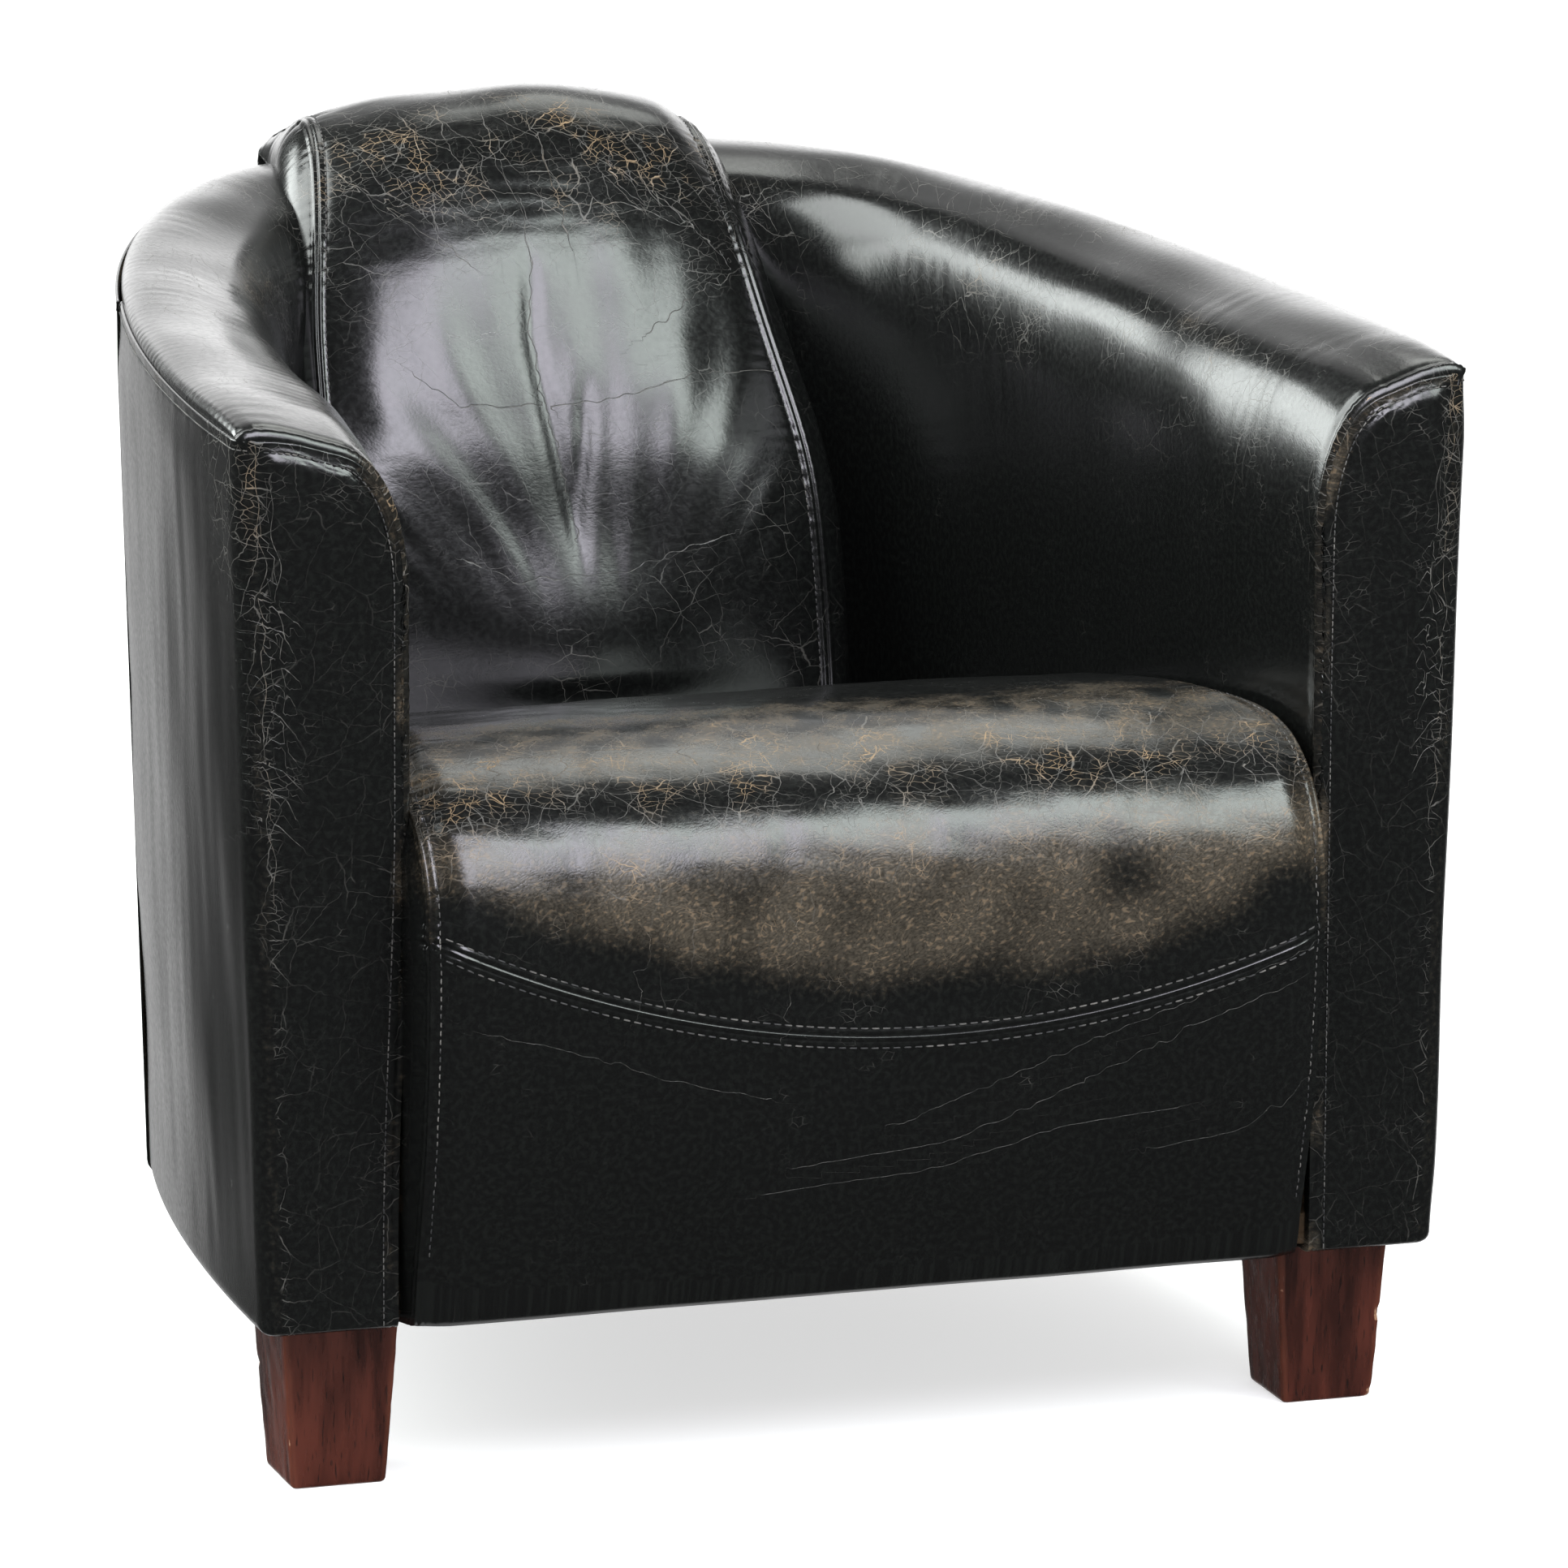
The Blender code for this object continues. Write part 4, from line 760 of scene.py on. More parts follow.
def padded_half(side, sign):
    """One half of the padding: rings in the wall's section, from the arm front to the middle."""
    s = steps(0.0, (0.006, 0.00075), (0.012, 0.0015), (HALF_LENGTH - 0.15, 0.0031),
              (HALF_LENGTH - 0.0008, 0.010))
    u = sign * (1.0 - s / HALF_LENGTH)
    depth, height, spacing = padded_section(u)
    back_z = np.linspace(0.0, 1.0, BEHIND)
    top = (rim_z(u) - RIM_UNDER)[:, None]
    behind_z = FOOT_Z + (top - FOOT_Z) * back_z
    behind = wall_frame(u[:, None], behind_z)[2] - FOAM_BACK
    ring_depth = np.hstack([depth, behind, np.full((len(u), 1), 0.0085)])
    ring_z = np.hstack([height, behind_z, top])
    points = tub_point(u[:, None], ring_depth, ring_z)
    seen = depth.shape[1]
    face = points[:, :seen]
    normal = grid_normals(face) * sign
    normal[..., 1] *= smoothstep(0.0, 0.02, s)[:, None]
    a, dist = np.broadcast_arrays(spacing[None], s[:, None])
    lift = inside_height(sign, dist, a, face)
    t = np.clip(face[..., 1] - ARM_FRONT, 0.0, BEAD)
    lift = lift - (BEAD - np.sqrt(np.maximum(BEAD ** 2 - (BEAD - t) ** 2, 0.0)))
    lift = lift + 0.0006 * bump(t, 0.0030, 0.0016) * (t < BEAD)
    points[:, :seen] = face + normal * lift[..., None]
    # the padding's front edge stands back a little behind the bulging top of the arm front
    points[..., 1] += (0.0007 * smoothstep(*ARM_TOP_Z, points[..., 2])
                       * smoothstep(0.02, 0.0, s)[:, None])
    points = leant(points, sign)
    edge = points[0].copy()
    inward = unit(np.gradient(edge[:, [0, 2]], axis=0))
    inward = np.stack([inward[:, 1], np.zeros(len(edge)), -inward[:, 0]], 1) * -sign
    inward[seen:] = 0.0
    turned = [edge + inward * reach + np.array([0.0, back, 0.0])
              for reach, back in ((0.0050, 0.0016), (0.0026, 0.0004))]
    points = np.concatenate([np.array(turned), points])
    s_all = np.r_[-0.005, -0.0026, s]
    craze, rub = inside_wear(sign, dist, a, face)
    pad = [(2, 0), (0, points.shape[1] - seen)]
    full_a = np.broadcast_to(np.r_[spacing, spacing[-1] + 0.02 * np.arange(1, BEHIND + 2)],
                             points.shape[:2])
    attributes = {"skin": skin_place(s_all[:, None], full_a, 3.0 + sign),
                  "craze": np.pad(craze, pad, "edge"), "rub": np.pad(rub, pad, "edge"),
                  "scar": np.ones(points.shape[:2])}
    made = make_padded(f"padded_arm_{side}", points, sign < 0, attributes,
                       (f"inside_cover_{side}", f"arm_foam_{side}", "back_foam"))


for side, sign in SIDES:
    padded_half(side, sign)

# %% [markdown]
# # The outside panels
# One piece of leather covers the arm front, turns the corner and runs along the side to a seam
# near the back; another covers the back. They are stretched over board, so they are nearly flat.
# What shows is the seam along their top: the edge is doubled, which makes a raised band, and a line
# of stitches sinks 6 mm below it. The grid has narrow columns at the arm front's inner edge, where
# the band turns, and its rows follow the curve of the arm's top.

# %% Outside panels
EDGE, BAND = 0.0034, 0.0062
SEAM_BELOW = 0.0052  # the panels end this far below the rim seam
HEM_TUCK, HEM_ROWS = 0.012, 5
CORNER_COLUMNS = 8
LINE_PITCH = 0.0012
REAR_PITCH = 0.0040
HIDE = 0.0013


def u_at_y(y):
    """The u on the right half of the outline at a given y."""
    u = np.linspace(0.0, 1.0, 4001)
    return np.interp(-np.asarray(y), -(ARM_FRONT + TUB_DEPTH * outline_unit(u)[1]), u)


def inset_line(line, distance):
    """Move an open line to the right of its direction of travel."""
    ahead = unit(np.gradient(line, axis=0))
    return line + distance * np.stack([ahead[:, 1], -ahead[:, 0]], 1)


FACING_EDGE = inset_line(ARM_TOP, -EDGE)
FACING_EDGE[:, 1] -= 0.0018 * smoothstep(WIDTH / 2 - 0.035, WIDTH / 2 - 0.012, FACING_EDGE[:, 0])


def seam_profile(d, drop=0.0013):
    """Height of leather at a distance d inside its edge: it rises from the joint, lies doubled as
    a band, and sinks at the stitches."""
    edge = -drop * (1.0 - np.clip(d / 0.0016, 0.0, 1.0)) ** 2
    band = 0.0007 * smoothstep(0.0, 0.0016, d) * smoothstep(BAND + 0.0016, BAND - 0.0008, d)
    return edge + band - 0.0006 * bump(d, BAND, 0.0011)


def gathers(along, d, seed, pitch=0.0056):
    """Small pulls square to a row of stitches: deepest at the stitches, gone 15 mm away."""
    wave = np.cos(2 * math.pi * along / pitch + 1.2 * ripple_line(along, 0.05, seed))
    fade = np.exp(-((d - BAND).clip(0.0) / 0.006)) * smoothstep(0.0, BAND, d)
    return wave * fade


def panel_rows(step, tops):
    """Rows of an outside panel, from the edge turned in under the hem up to the seam: the height
    of each, and how far in it is turned and down it drops, for the height of every column's top."""
    v = steps(0.0, (0.955, step), (0.978, 0.0035), (1.0, 0.0016))
    hem = np.linspace(math.pi / 2, 0.0, HEM_ROWS)[:-1]
    low = HEM_Z + HEM_RADIUS
    z = low + (tops[None] - low) * np.r_[np.zeros(HEM_ROWS), v][:, None]
    shift = np.r_[HEM_TUCK, HEM_RADIUS * (1 - np.cos(hem)), np.zeros(len(v))]
    drop = np.r_[HEM_RADIUS, HEM_RADIUS * np.sin(hem), np.zeros(len(v))]
    return z, shift[:, None], drop[:, None]


def sewn_panel(name, points, flipped, attributes, stands_for):
    """A leather panel of one layer with its thickness inwards."""
    faces = flip(grid_faces(*points.shape[:2]), flipped)
    made = make_piece(name, points, faces, LEATHER, attributes, stands_for=stands_for)
    thicken(made, "leather_thickness", HIDE, -1.0)


def band_rows(d):
    """Per column, the row where the stitches below the rim seam lie."""
    rows = np.arange(len(d) - HEM_ROWS)
    return np.array([np.interp(-BAND, -c[HEM_ROWS:], rows) for c in d.T]) + HEM_ROWS


def side_height(sign, points, d, rear, seam_run, curve_run, on_front):
    """The doubled edge, the gathers along it, and the soft bulge between the seams."""
    z = points[..., 2]
    h = seam_profile(d)
    near_rear = seam_profile(rear)
    tight = 0.30 + 2.6 * bump(seam_run, curve_run, 0.045)
    h = np.minimum(h, near_rear + 0.0007 * (d > BAND))
    h = h + 0.00036 * tight * gathers(seam_run, d, 71 + sign)
    h = h + 0.00012 * gathers(z, rear, 75 + sign, REAR_PITCH)
    inside = smoothstep(0.008, 0.045, d) * smoothstep(0.0, 0.05, z - HEM_Z)
    h = h + 0.0018 * inside * on_front
    h = h + 0.0038 * smoothstep(0.001, 0.014, d) * smoothstep(*ARM_TOP_Z, z) * on_front
    h = h + 0.0005 * inside * (1 - on_front) * (1.2 + ripple(points, 0.20, 81))
    h = h + 0.00007 * ripple(points * (1, 1, 0.22), 0.036, 83) * inside
    h[:, :3] = 0.0
    return h


def side_wear(sign, points, ahead, d, on_front):
    """The front corner is cracked and rubbed, most of all near its top."""
    z = points[..., 2]
    cloud = ripple(points, 0.07, 91 + sign)
    top_corner = np.exp(-((ahead / 0.085) ** 2)) * smoothstep(0.17, 0.02, d)
    craze = (0.02 + 0.02 * cloud + 0.05 * on_front + 0.50 * top_corner * (1 - 0.8 * on_front)
             + 0.20 * bump(ahead, 0.004, 0.007) * smoothstep(0.28, 0.36, z)
             + 0.16 * np.exp(-d / 0.010) * on_front)
    # the corner has cracked down its length in a bundle of thin lines
    wave = 0.0012 * ripple_line(z, 0.05, 95 + sign)
    bundle = [[(-0.002, 0.36), (0.001, 0.45), (-0.001, 0.56), (0.002, 0.63)],
              [(-0.010, 0.44), (-0.009, 0.52), (-0.006, 0.60)]]
    bundle += [[(0.004, k + 0.010), (-0.008, k + 0.004), (-0.016, k - 0.008)]
               for k in np.linspace(0.40, 0.53, 9)]
    scar = strokes(ahead + wave, z, bundle, 2.0)
    rub = (0.42 * np.exp(-((d - 0.002) / 0.005) ** 2) * (0.3 + 0.5 * cloud)
           * np.where(ahead < 0.0, 1.0, 0.35) + 0.16 * bump(ahead, 0.004, 0.005))
    return craze, rub, scar


def outside_side(side, sign):
    """The arm front and the side as one grid: columns run from the opening round the corner to
    the rear seam, rows from the hem to the top. Returns lines for the stitches."""
    inner_x = OPENING / 2 + EDGE
    corner_x = WIDTH / 2 - CORNER_RADIUS
    lean = np.linspace(0.0, math.pi / 2, 25)
    facing_x = np.r_[inner_x - 0.0003, inner_x - 0.0002, inner_x - 0.0001,
                     inner_x + 0.040 * (1 - np.cos(lean)),
                     steps(inner_x + 0.040, (corner_x, 0.0026))[1:]]
    tuck = np.zeros(len(facing_x))
    tuck[:3] = 0.024, 0.005, 0.0015
    curve = FACING_EDGE[FACING_EDGE[:, 0] > FACING_EDGE[:, 0].min() + 1e-5][::-1]
    top = np.interp(facing_x, curve[:, 0], curve[:, 1])
    turns = np.linspace(0.0, math.pi / 2, CORNER_COLUMNS + 1)[1:]
    start_u = float(u_at_y(ARM_FRONT + CORNER_RADIUS))
    length = (start_u - BACK_SEAM_U) * HALF_LENGTH
    side_s = steps(0.0, (length - 0.012, 0.0048), (length - 0.0004, 0.0012))[1:]
    side_u = start_u - side_s / HALF_LENGTH
    tops = np.r_[top, np.full(CORNER_COLUMNS, RIM_FRONT - SEAM_BELOW), rim_z(side_u) - SEAM_BELOW]
    z, inset, drop = panel_rows(0.0075, tops)
    taper = side_taper(z)
    # columns of the arm front, then of the turned corner, then of the side
    facing = len(facing_x)
    corner, beside = slice(facing, facing + CORNER_COLUMNS), slice(facing + CORNER_COLUMNS, None)
    x = np.empty_like(z)
    y = np.empty_like(z)
    scale = (corner_x - taper[:, :facing] - inner_x) / (corner_x - inner_x)
    x[:, :facing] = inner_x + (facing_x - inner_x) * scale
    # below the seat the arm has no padding beside the board, so the leather wraps the board
    bare = smoothstep(0.315, 0.297, z[:, :facing]) * np.exp(-(facing_x - facing_x[2]).clip(0) / 0.004)
    x[:, :facing] -= 0.0030 * bare
    y[:, :facing] = ARM_FRONT + inset + tuck
    x[:, corner] = corner_x - taper[:, corner] + (CORNER_RADIUS - inset) * np.sin(turns)
    y[:, corner] = ARM_FRONT + CORNER_RADIUS - (CORNER_RADIUS - inset) * np.cos(turns)
    spots = tub_point(side_u[None], taper[:, beside] + inset, z[:, beside])
    x[:, beside], y[:, beside] = spots[..., 0], spots[..., 1]
    z = z - drop
    points = np.stack([x * sign, y, z], -1)
    normal = grid_normals(points) * -sign
    # distance inside the seam: in the plane of the arm front, and straight down along the side
    line = np.vstack([FACING_EDGE[FACING_EDGE[:, 0] < corner_x], [[inner_x, HEM_Z]]])
    dense, _ = even_steps(line, LINE_PITCH)
    curve_run = -LINE_PITCH * int(np.argmin(np.abs(dense[:, 1] - RIM_FRONT + 0.035)))
    front = np.stack([x[:, :facing], z[:, :facing]], -1)
    gap = np.sqrt(((front[:, :, None] - dense) ** 2).sum(-1))
    nearest = gap.argmin(-1)
    d = tops - z
    d[:, :facing] = np.minimum(gap.min(-1), d[:, :facing] + 1.0)
    corner_run = CORNER_RADIUS * math.pi / 2
    around = np.r_[facing_x - corner_x, CORNER_RADIUS * turns, corner_run + side_s]
    ahead = np.broadcast_to(around, z.shape).copy()
    seam_run = ahead.copy()
    seam_run[:, :facing] = -nearest * LINE_PITCH
    rear = (length + corner_run) - ahead
    on_front = smoothstep(0.002, -0.010, ahead)
    h = side_height(sign, points, d, rear, seam_run, curve_run, on_front)
    out = leant(points + normal * h[..., None], sign)
    craze, rub, scar = side_wear(sign, points, ahead, d, on_front)
    attributes = {"skin": skin_place(ahead, z, 6.0 + sign), "craze": craze, "rub": rub,
                  "scar": scar}
    sewn_panel(f"outside_leather_{side}", out, sign > 0, attributes, (f"outside_cover_{side}",))
    # lines for the stitches: along the band in the front, then along the side
    columns = np.arange(facing, z.shape[1], dtype=float)
    row_at = band_rows(d[:, facing:])
    inner = inset_line(dense, -BAND)
    inner = inner[(inner[:, 0] < corner_x + 0.001) & (inner[:, 0] > inner_x)]
    flat_y = ARM_FRONT - 0.00015 - 0.0015 * smoothstep(*ARM_TOP_Z, inner[:, 1])
    flat = np.stack([inner[:, 0] * sign, flat_y, inner[:, 1]], 1)
    return leant(flat, sign), sample(out, row_at, columns), sample(normal, row_at, columns)


outside = {side: outside_side(side, sign) for side, sign in SIDES}


# %% The back panel
def outside_back():
    """The back panel, from one rear seam to the other, with its seams' distances for stitching."""
    half = BACK_SEAM_U - 0.0004 / HALF_LENGTH
    fine = steps(0.0, (0.012, 0.0012)) / HALF_LENGTH
    u = np.r_[-half + fine[:-1], np.linspace(-half + fine[-1], half - fine[-1], 150),
              (half - fine[:-1])[::-1]]
    tops = rim_z(u) - SEAM_BELOW
    z, inset, drop = panel_rows(0.0095, tops)
    points = tub_point(u[None], side_taper(z) + inset, z)
    points[..., 2] -= drop
    normal = -grid_normals(points)
    ahead = np.broadcast_to(u * HALF_LENGTH, z.shape)
    d = tops[None] - z
    ends = half * HALF_LENGTH - np.abs(ahead)
    h = np.minimum(seam_profile(d), seam_profile(ends) + 0.0007 * (d > BAND))
    h = h + 0.00018 * gathers(ahead, d, 101) + 0.00012 * gathers(z, ends, 103, REAR_PITCH)
    inside = smoothstep(0.008, 0.06, d) * smoothstep(0.0, 0.05, z - HEM_Z)
    inside = inside * smoothstep(0.0, 0.04, ends)
    h = h + 0.0007 * inside * (1.1 + ripple(points, 0.17, 105))
    h = h + 0.00016 * inside * ripple(points, 0.03, 107)
    out = points + normal * h[..., None]
    cloud = ripple(points, 0.08, 109)
    craze = 0.06 + 0.12 * cloud + 0.35 * np.exp(-d / 0.015)
    rub = 0.30 * np.exp(-((d - 0.003) / 0.006) ** 2) * (0.4 + 0.5 * cloud)
    attributes = {"skin": skin_place(ahead, z, 9.0), "craze": craze, "rub": rub,
                  "scar": np.ones(z.shape)}
    sewn_panel("outside_leather_back", out, True, attributes, ("outside_back_cover",))
    return out, normal, d, ends


back_grid = outside_back()

# %% [markdown]
# # Cushions that are blown up, then sewn
# A cushion is a bag of leather filled with foam: full in the middle of each panel and pulled in
# at its seams. It could be drawn by a formula, but real swelling has its own logic, so Blender's
# cloth does it. A coarse bag a few millimetres small, held along its seams, is put under pressure
# and left to swell for twenty frames. How far each point moved, capped so that the cushion keeps
# its size, is then carried over to the fine grid by cubic weights, and the seams are sewn on last.

# %% Swelling by cloth
def blend_weights(at, knots):
    """Cubic B-spline weights of evenly spaced knots at each place: smooth and never overshooting."""
    place = (np.asarray(at)[:, None] - knots[0]) / (knots[1] - knots[0]) - np.arange(len(knots))
    t = np.abs(place)
    weights = np.where(t < 1, 2 / 3 - t ** 2 + t ** 3 / 2, (2 - t).clip(0) ** 3 / 6)
    return weights / weights.sum(1, keepdims=True)


def swell(name, points, held, cap, pressure=4.0, frames=20):
    """Blow up a closed bag given as a grid of rings and return how far each point moved out."""
    rows, columns = points.shape[:2]
    mesh = bpy.data.meshes.new(name)
    faces = grid_faces(rows, columns, around=True).tolist() + end_caps(rows, columns)
    mesh.from_pydata(points.reshape(-1, 3).tolist(), [], faces)
    bag = bpy.data.objects.new(name, mesh)
    scene.collection.objects.link(bag)
    group = bag.vertex_groups.new(name="held")
    for weight in np.unique(held):
        group.add(np.flatnonzero(held.ravel() == weight).tolist(), float(weight), "REPLACE")
    cloth = bag.modifiers.new("swell", "CLOTH")
    cloth.settings.vertex_group_mass = "held"
    cloth.settings.quality = 6
    cloth.settings.mass = 0.35
    cloth.settings.tension_stiffness = cloth.settings.compression_stiffness = 12.0
    cloth.settings.bending_stiffness = 1.2
    cloth.settings.use_pressure = True
    cloth.settings.uniform_pressure_force = pressure
    cloth.settings.effector_weights.gravity = 0.0
    cloth.point_cache.frame_start, cloth.point_cache.frame_end = 1, frames
    for number in range(1, frames + 1):
        scene.frame_set(number)
    shape = bag.evaluated_get(bpy.context.evaluated_depsgraph_get()).to_mesh()
    moved = np.empty(rows * columns * 3, np.float32)
    shape.vertices.foreach_get("co", moved)
    bpy.data.objects.remove(bag, do_unlink=True)
    bpy.data.meshes.remove(mesh)
    scene.frame_set(1)
    normal = grid_normals(points, around=True)
    out = ((moved.reshape(rows, columns, 3) - points) * normal).sum(-1)
    print(f"{name}: swelled {out.min() * 1000:.1f} to {out.max() * 1000:.1f} mm")
    return out.clip(-cap * 0.3, cap)


# %% [markdown]
# # The seat cushion
# The seat is one body. Its section runs from the back over a crowned top, round the front edge and
# straight down to the hem. It is drawn by a smooth curve through eleven points. Across, it is flat
# with rounded edges and a gusset down each side. A curved seam joins the seat panel to the front
# panel, and a seam runs down each side. At every seam both leathers fold inwards, so a thin ridge
# stands up between two rows of stitches.

# %% Profiles of the cushions
def smooth_curve(points, count, soft):
    """Evenly spaced points on a Catmull-Rom curve through the given ones, then blended a little."""
    points = np.asarray(points, float)
    ends = np.vstack([2 * points[0] - points[1], points, 2 * points[-1] - points[-2]])
    t = np.linspace(0.0, 1.0, 100, endpoint=False)[:, None]
    a, b, c, d = (ends[i:len(ends) - 3 + i, None] for i in range(4))
    dense = 0.5 * (2 * b + (c - a) * t + (2 * a - 5 * b + 4 * c - d) * t ** 2
                   + (3 * b - a - 3 * c + d) * t ** 3)
    line, at = even_steps(np.vstack([dense.reshape(-1, 2), points[-1:]]), 0.0006)
    gap = at[:, None] - at[None, :]
    reach = soft * np.minimum(1.0, np.minimum(at, at[-1] - at) / (4 * soft)).clip(0.02)
    weights = np.exp(-0.5 * (gap / reach[:, None]) ** 2)
    line = (weights / weights.sum(1, keepdims=True)) @ line
    wanted = np.linspace(0.0, at[-1], count)
    return np.stack([np.interp(wanted, at, line[:, i]) for i in range(2)], 1), at[-1]


SEAT_PROFILE, SEAT_LENGTH = smooth_curve(
    [(0.150, 0.352), (-0.050, 0.402), (-0.200, 0.428), (-0.290, 0.434), (-0.352, 0.417),
     (-0.386, 0.385), (-0.399, 0.340), (-0.398, 0.280), (-0.389, 0.210), (-0.374, 0.150),
     (-0.364, 0.116)], 1601, 0.006)
PAD_PROFILE, PAD_LENGTH = smooth_curve(
    [(0.1303, 0.350), (0.143, 0.440), (0.164, 0.520), (0.196, 0.590), (0.230, 0.650),
     (0.274, 0.695), (0.322, 0.713), (0.362, 0.704), (0.390, 0.686), (0.3970, 0.670)], 1601, 0.013)
SEAT_HALF, SEAT_ROUND, SEAT_SIDE, SEAT_SEAM = OPENING / 2 - 0.0016, 0.030, 0.044, 1.55
PAD_SKIN = 0.0011
PAD_SUNK = 0.008  # the foot of the back cushion lies this far below the seat


def profile_at(profile, share):
    """Point and direction of travel on a profile at a share of its length."""
    grid = np.linspace(0.0, 1.0, len(profile))
    ahead = unit(np.gradient(profile, axis=0))
    return (np.stack([np.interp(share, grid, profile[:, i]) for i in range(2)], -1),
            np.stack([np.interp(share, grid, ahead[:, i]) for i in range(2)], -1))


def rounded_edge(turn, half, radius, side):
    """Across a cushion: distance from its middle and how far in from its face, with turn 0 to 1
    over the flat part, 1 to 2 round the edge, 2 to 3 down the side."""
    angle = np.clip(turn - 1.0, 0.0, 1.0) * math.pi / 2
    across = (half - radius) * np.clip(turn, 0.0, 1.0) + radius * np.sin(angle)
    inward = radius * (1.0 - np.cos(angle)) + (side - radius) * np.clip(turn - 2.0, 0.0, 1.0)
    return across, inward


def inside_half_width(y, z):
    """Half the clear width between the inside leathers at each y."""
    _, inner, _ = wall_frame(np.linspace(0.0, 1.0, 1201), z)
    return np.interp(y, inner[::-1, 1], inner[::-1, 0])


def seat_point(turn, share):
    """The seat's face: the profile gives y and z, the rounded edge gives x and how far in."""
    turn, share = np.broadcast_arrays(np.asarray(turn, float), np.asarray(share, float))
    spot, ahead = profile_at(SEAT_PROFILE, share)
    side = np.where(share > 0.5, np.maximum(SEAT_SIDE, ARM_FRONT + 0.019 - spot[..., 0]), SEAT_SIDE)
    across, inward = rounded_edge(np.abs(turn), SEAT_HALF, SEAT_ROUND, side)
    spare = 0.0012 + 0.0028 * smoothstep(ARM_FRONT + 0.03, ARM_FRONT + 0.12, spot[..., 0])
    narrow = np.minimum(1.0, (inside_half_width(spot[..., 0].clip(ARM_FRONT), 0.30) - spare)
                        / SEAT_HALF)
    return np.stack([np.sign(turn) * across * narrow, spot[..., 0] - ahead[..., 1] * inward,
                     spot[..., 1] + ahead[..., 0] * inward], -1)


def mirrored(values):
    """The values from the middle outwards, on both sides of it."""
    return np.r_[-values[:0:-1], values]


ARC_LOW_Z, ARC_BEND, ARC_LOW_X = 0.2635, 0.80, 0.035
DECK_FRONT_Y, DECK_FRONT_Z = ARM_FRONT + 0.0200, 0.2605
UNDER_COLUMNS = 7
front_share = np.linspace(0.6, 1.0, 900)
front_heights = profile_at(SEAT_PROFILE, front_share)[0][:, 1]


def arc_share(turn):
    """Share of the profile at which the curved seam crosses it: its height is a parabola."""
    across, _ = rounded_edge(np.abs(turn), SEAT_HALF, SEAT_ROUND, SEAT_SIDE)
    height = ARC_LOW_Z + ARC_BEND * (np.sign(turn) * across - ARC_LOW_X) ** 2
    return np.interp(-height, -front_heights, front_share)


deck = np.array([v.co for v in nodes["spring_cloth"].data.vertices])
deck = deck[np.argsort(deck[:, 1])]


def deck_z(y):
    """Top of the cloth over the springs at each y."""
    ys = np.unique(np.round(deck[:, 1], 4))
    zs = np.array([deck[np.abs(deck[:, 1] - v) < 2e-4, 2].max() for v in ys])
    return np.interp(y, ys, zs) + 0.0004


def under_seat(edge, x):
    """Points below the seat at each x: on the sprung cloth, and level where the front hangs."""
    y = np.maximum(edge[..., 1], DECK_FRONT_Y)
    z = np.where(edge[..., 1] > DECK_FRONT_Y, deck_z(y), np.minimum(edge[..., 2], DECK_FRONT_Z))
    return np.stack(np.broadcast_arrays(x, y, z), -1)


def seat_bag(turn, share, inset):
    """Closed rings of the seat, a little small: over the face from side to side, then back along
    the underside."""
    face = seat_point(turn[None], share[:, None])
    edge = face[:, [-1]]
    x = np.linspace(1.0, -1.0, UNDER_COLUMNS)[None] * edge[..., 0] * 0.985
    face = face - grid_normals(face) * inset * SEAT_OUT
    return np.concatenate([face, under_seat(edge, x)], 1)


SEAT_OUT = float(np.sign(grid_normals(seat_point(np.linspace(-1, 1, 9)[None],
                                                 np.linspace(0.2, 0.4, 9)[:, None]))[4, 4, 2]))


def seat_seams(run, seam_run, share, arc, slope):
    """Signed distance down from the curved seam, and distance out from the side seam."""
    return (share - arc) * SEAT_LENGTH / np.sqrt(1.0 + slope ** 2), np.abs(run) - seam_run


ARC_STITCH = 0.0060


def seam_ridge(d, width=0.0010, height=0.0004, stitch=ARC_STITCH, groove=0.0006):
    """Two leathers folded into a seam: a thin ridge, a raised band each side, a groove at each
    row of stitches."""
    t = np.abs(d)
    band = 0.0005 * smoothstep(stitch + 0.0030, stitch - 0.0010, t)
    pinch = -0.0009 * bump(t, 0.0019, 0.0008)
    return height * bump(d, 0.0, width) + band + pinch - groove * bump(t, stitch, 0.0011)


# %% Seat cushion
TURN_AT = np.r_[0.0, 1.0, 2.0, 3.0]  # flat part, round edge, side: where each starts and ends


def coarse_sides(run_at, columns):
    """Evenly spaced runs across a cushion, with the turn at each."""
    run = np.linspace(-run_at[-1], run_at[-1], columns)
    return run, np.sign(run) * np.interp(np.abs(run), run_at, TURN_AT)


def swollen(bag, held, name, cap, plain, share):
    """How far the cushion's face stands out, on a coarse grid: plain is an even crown, and share is
    how much of the cloth's own shape shows. Firm foam under the leather smooths out the rest."""
    return plain + share * (swell(name, bag, held, cap)[:, :plain.shape[1]] - plain)


SEAT_BAG = (96, 79)  # rows and columns of the coarse bag
SEAT_SMALLER, SEAT_PUFF = 0.007, 0.0050  # how small the bag is made, how far its swelling shows
SEAT_STITCH, PAD_STITCH = 0.0055, 0.0052
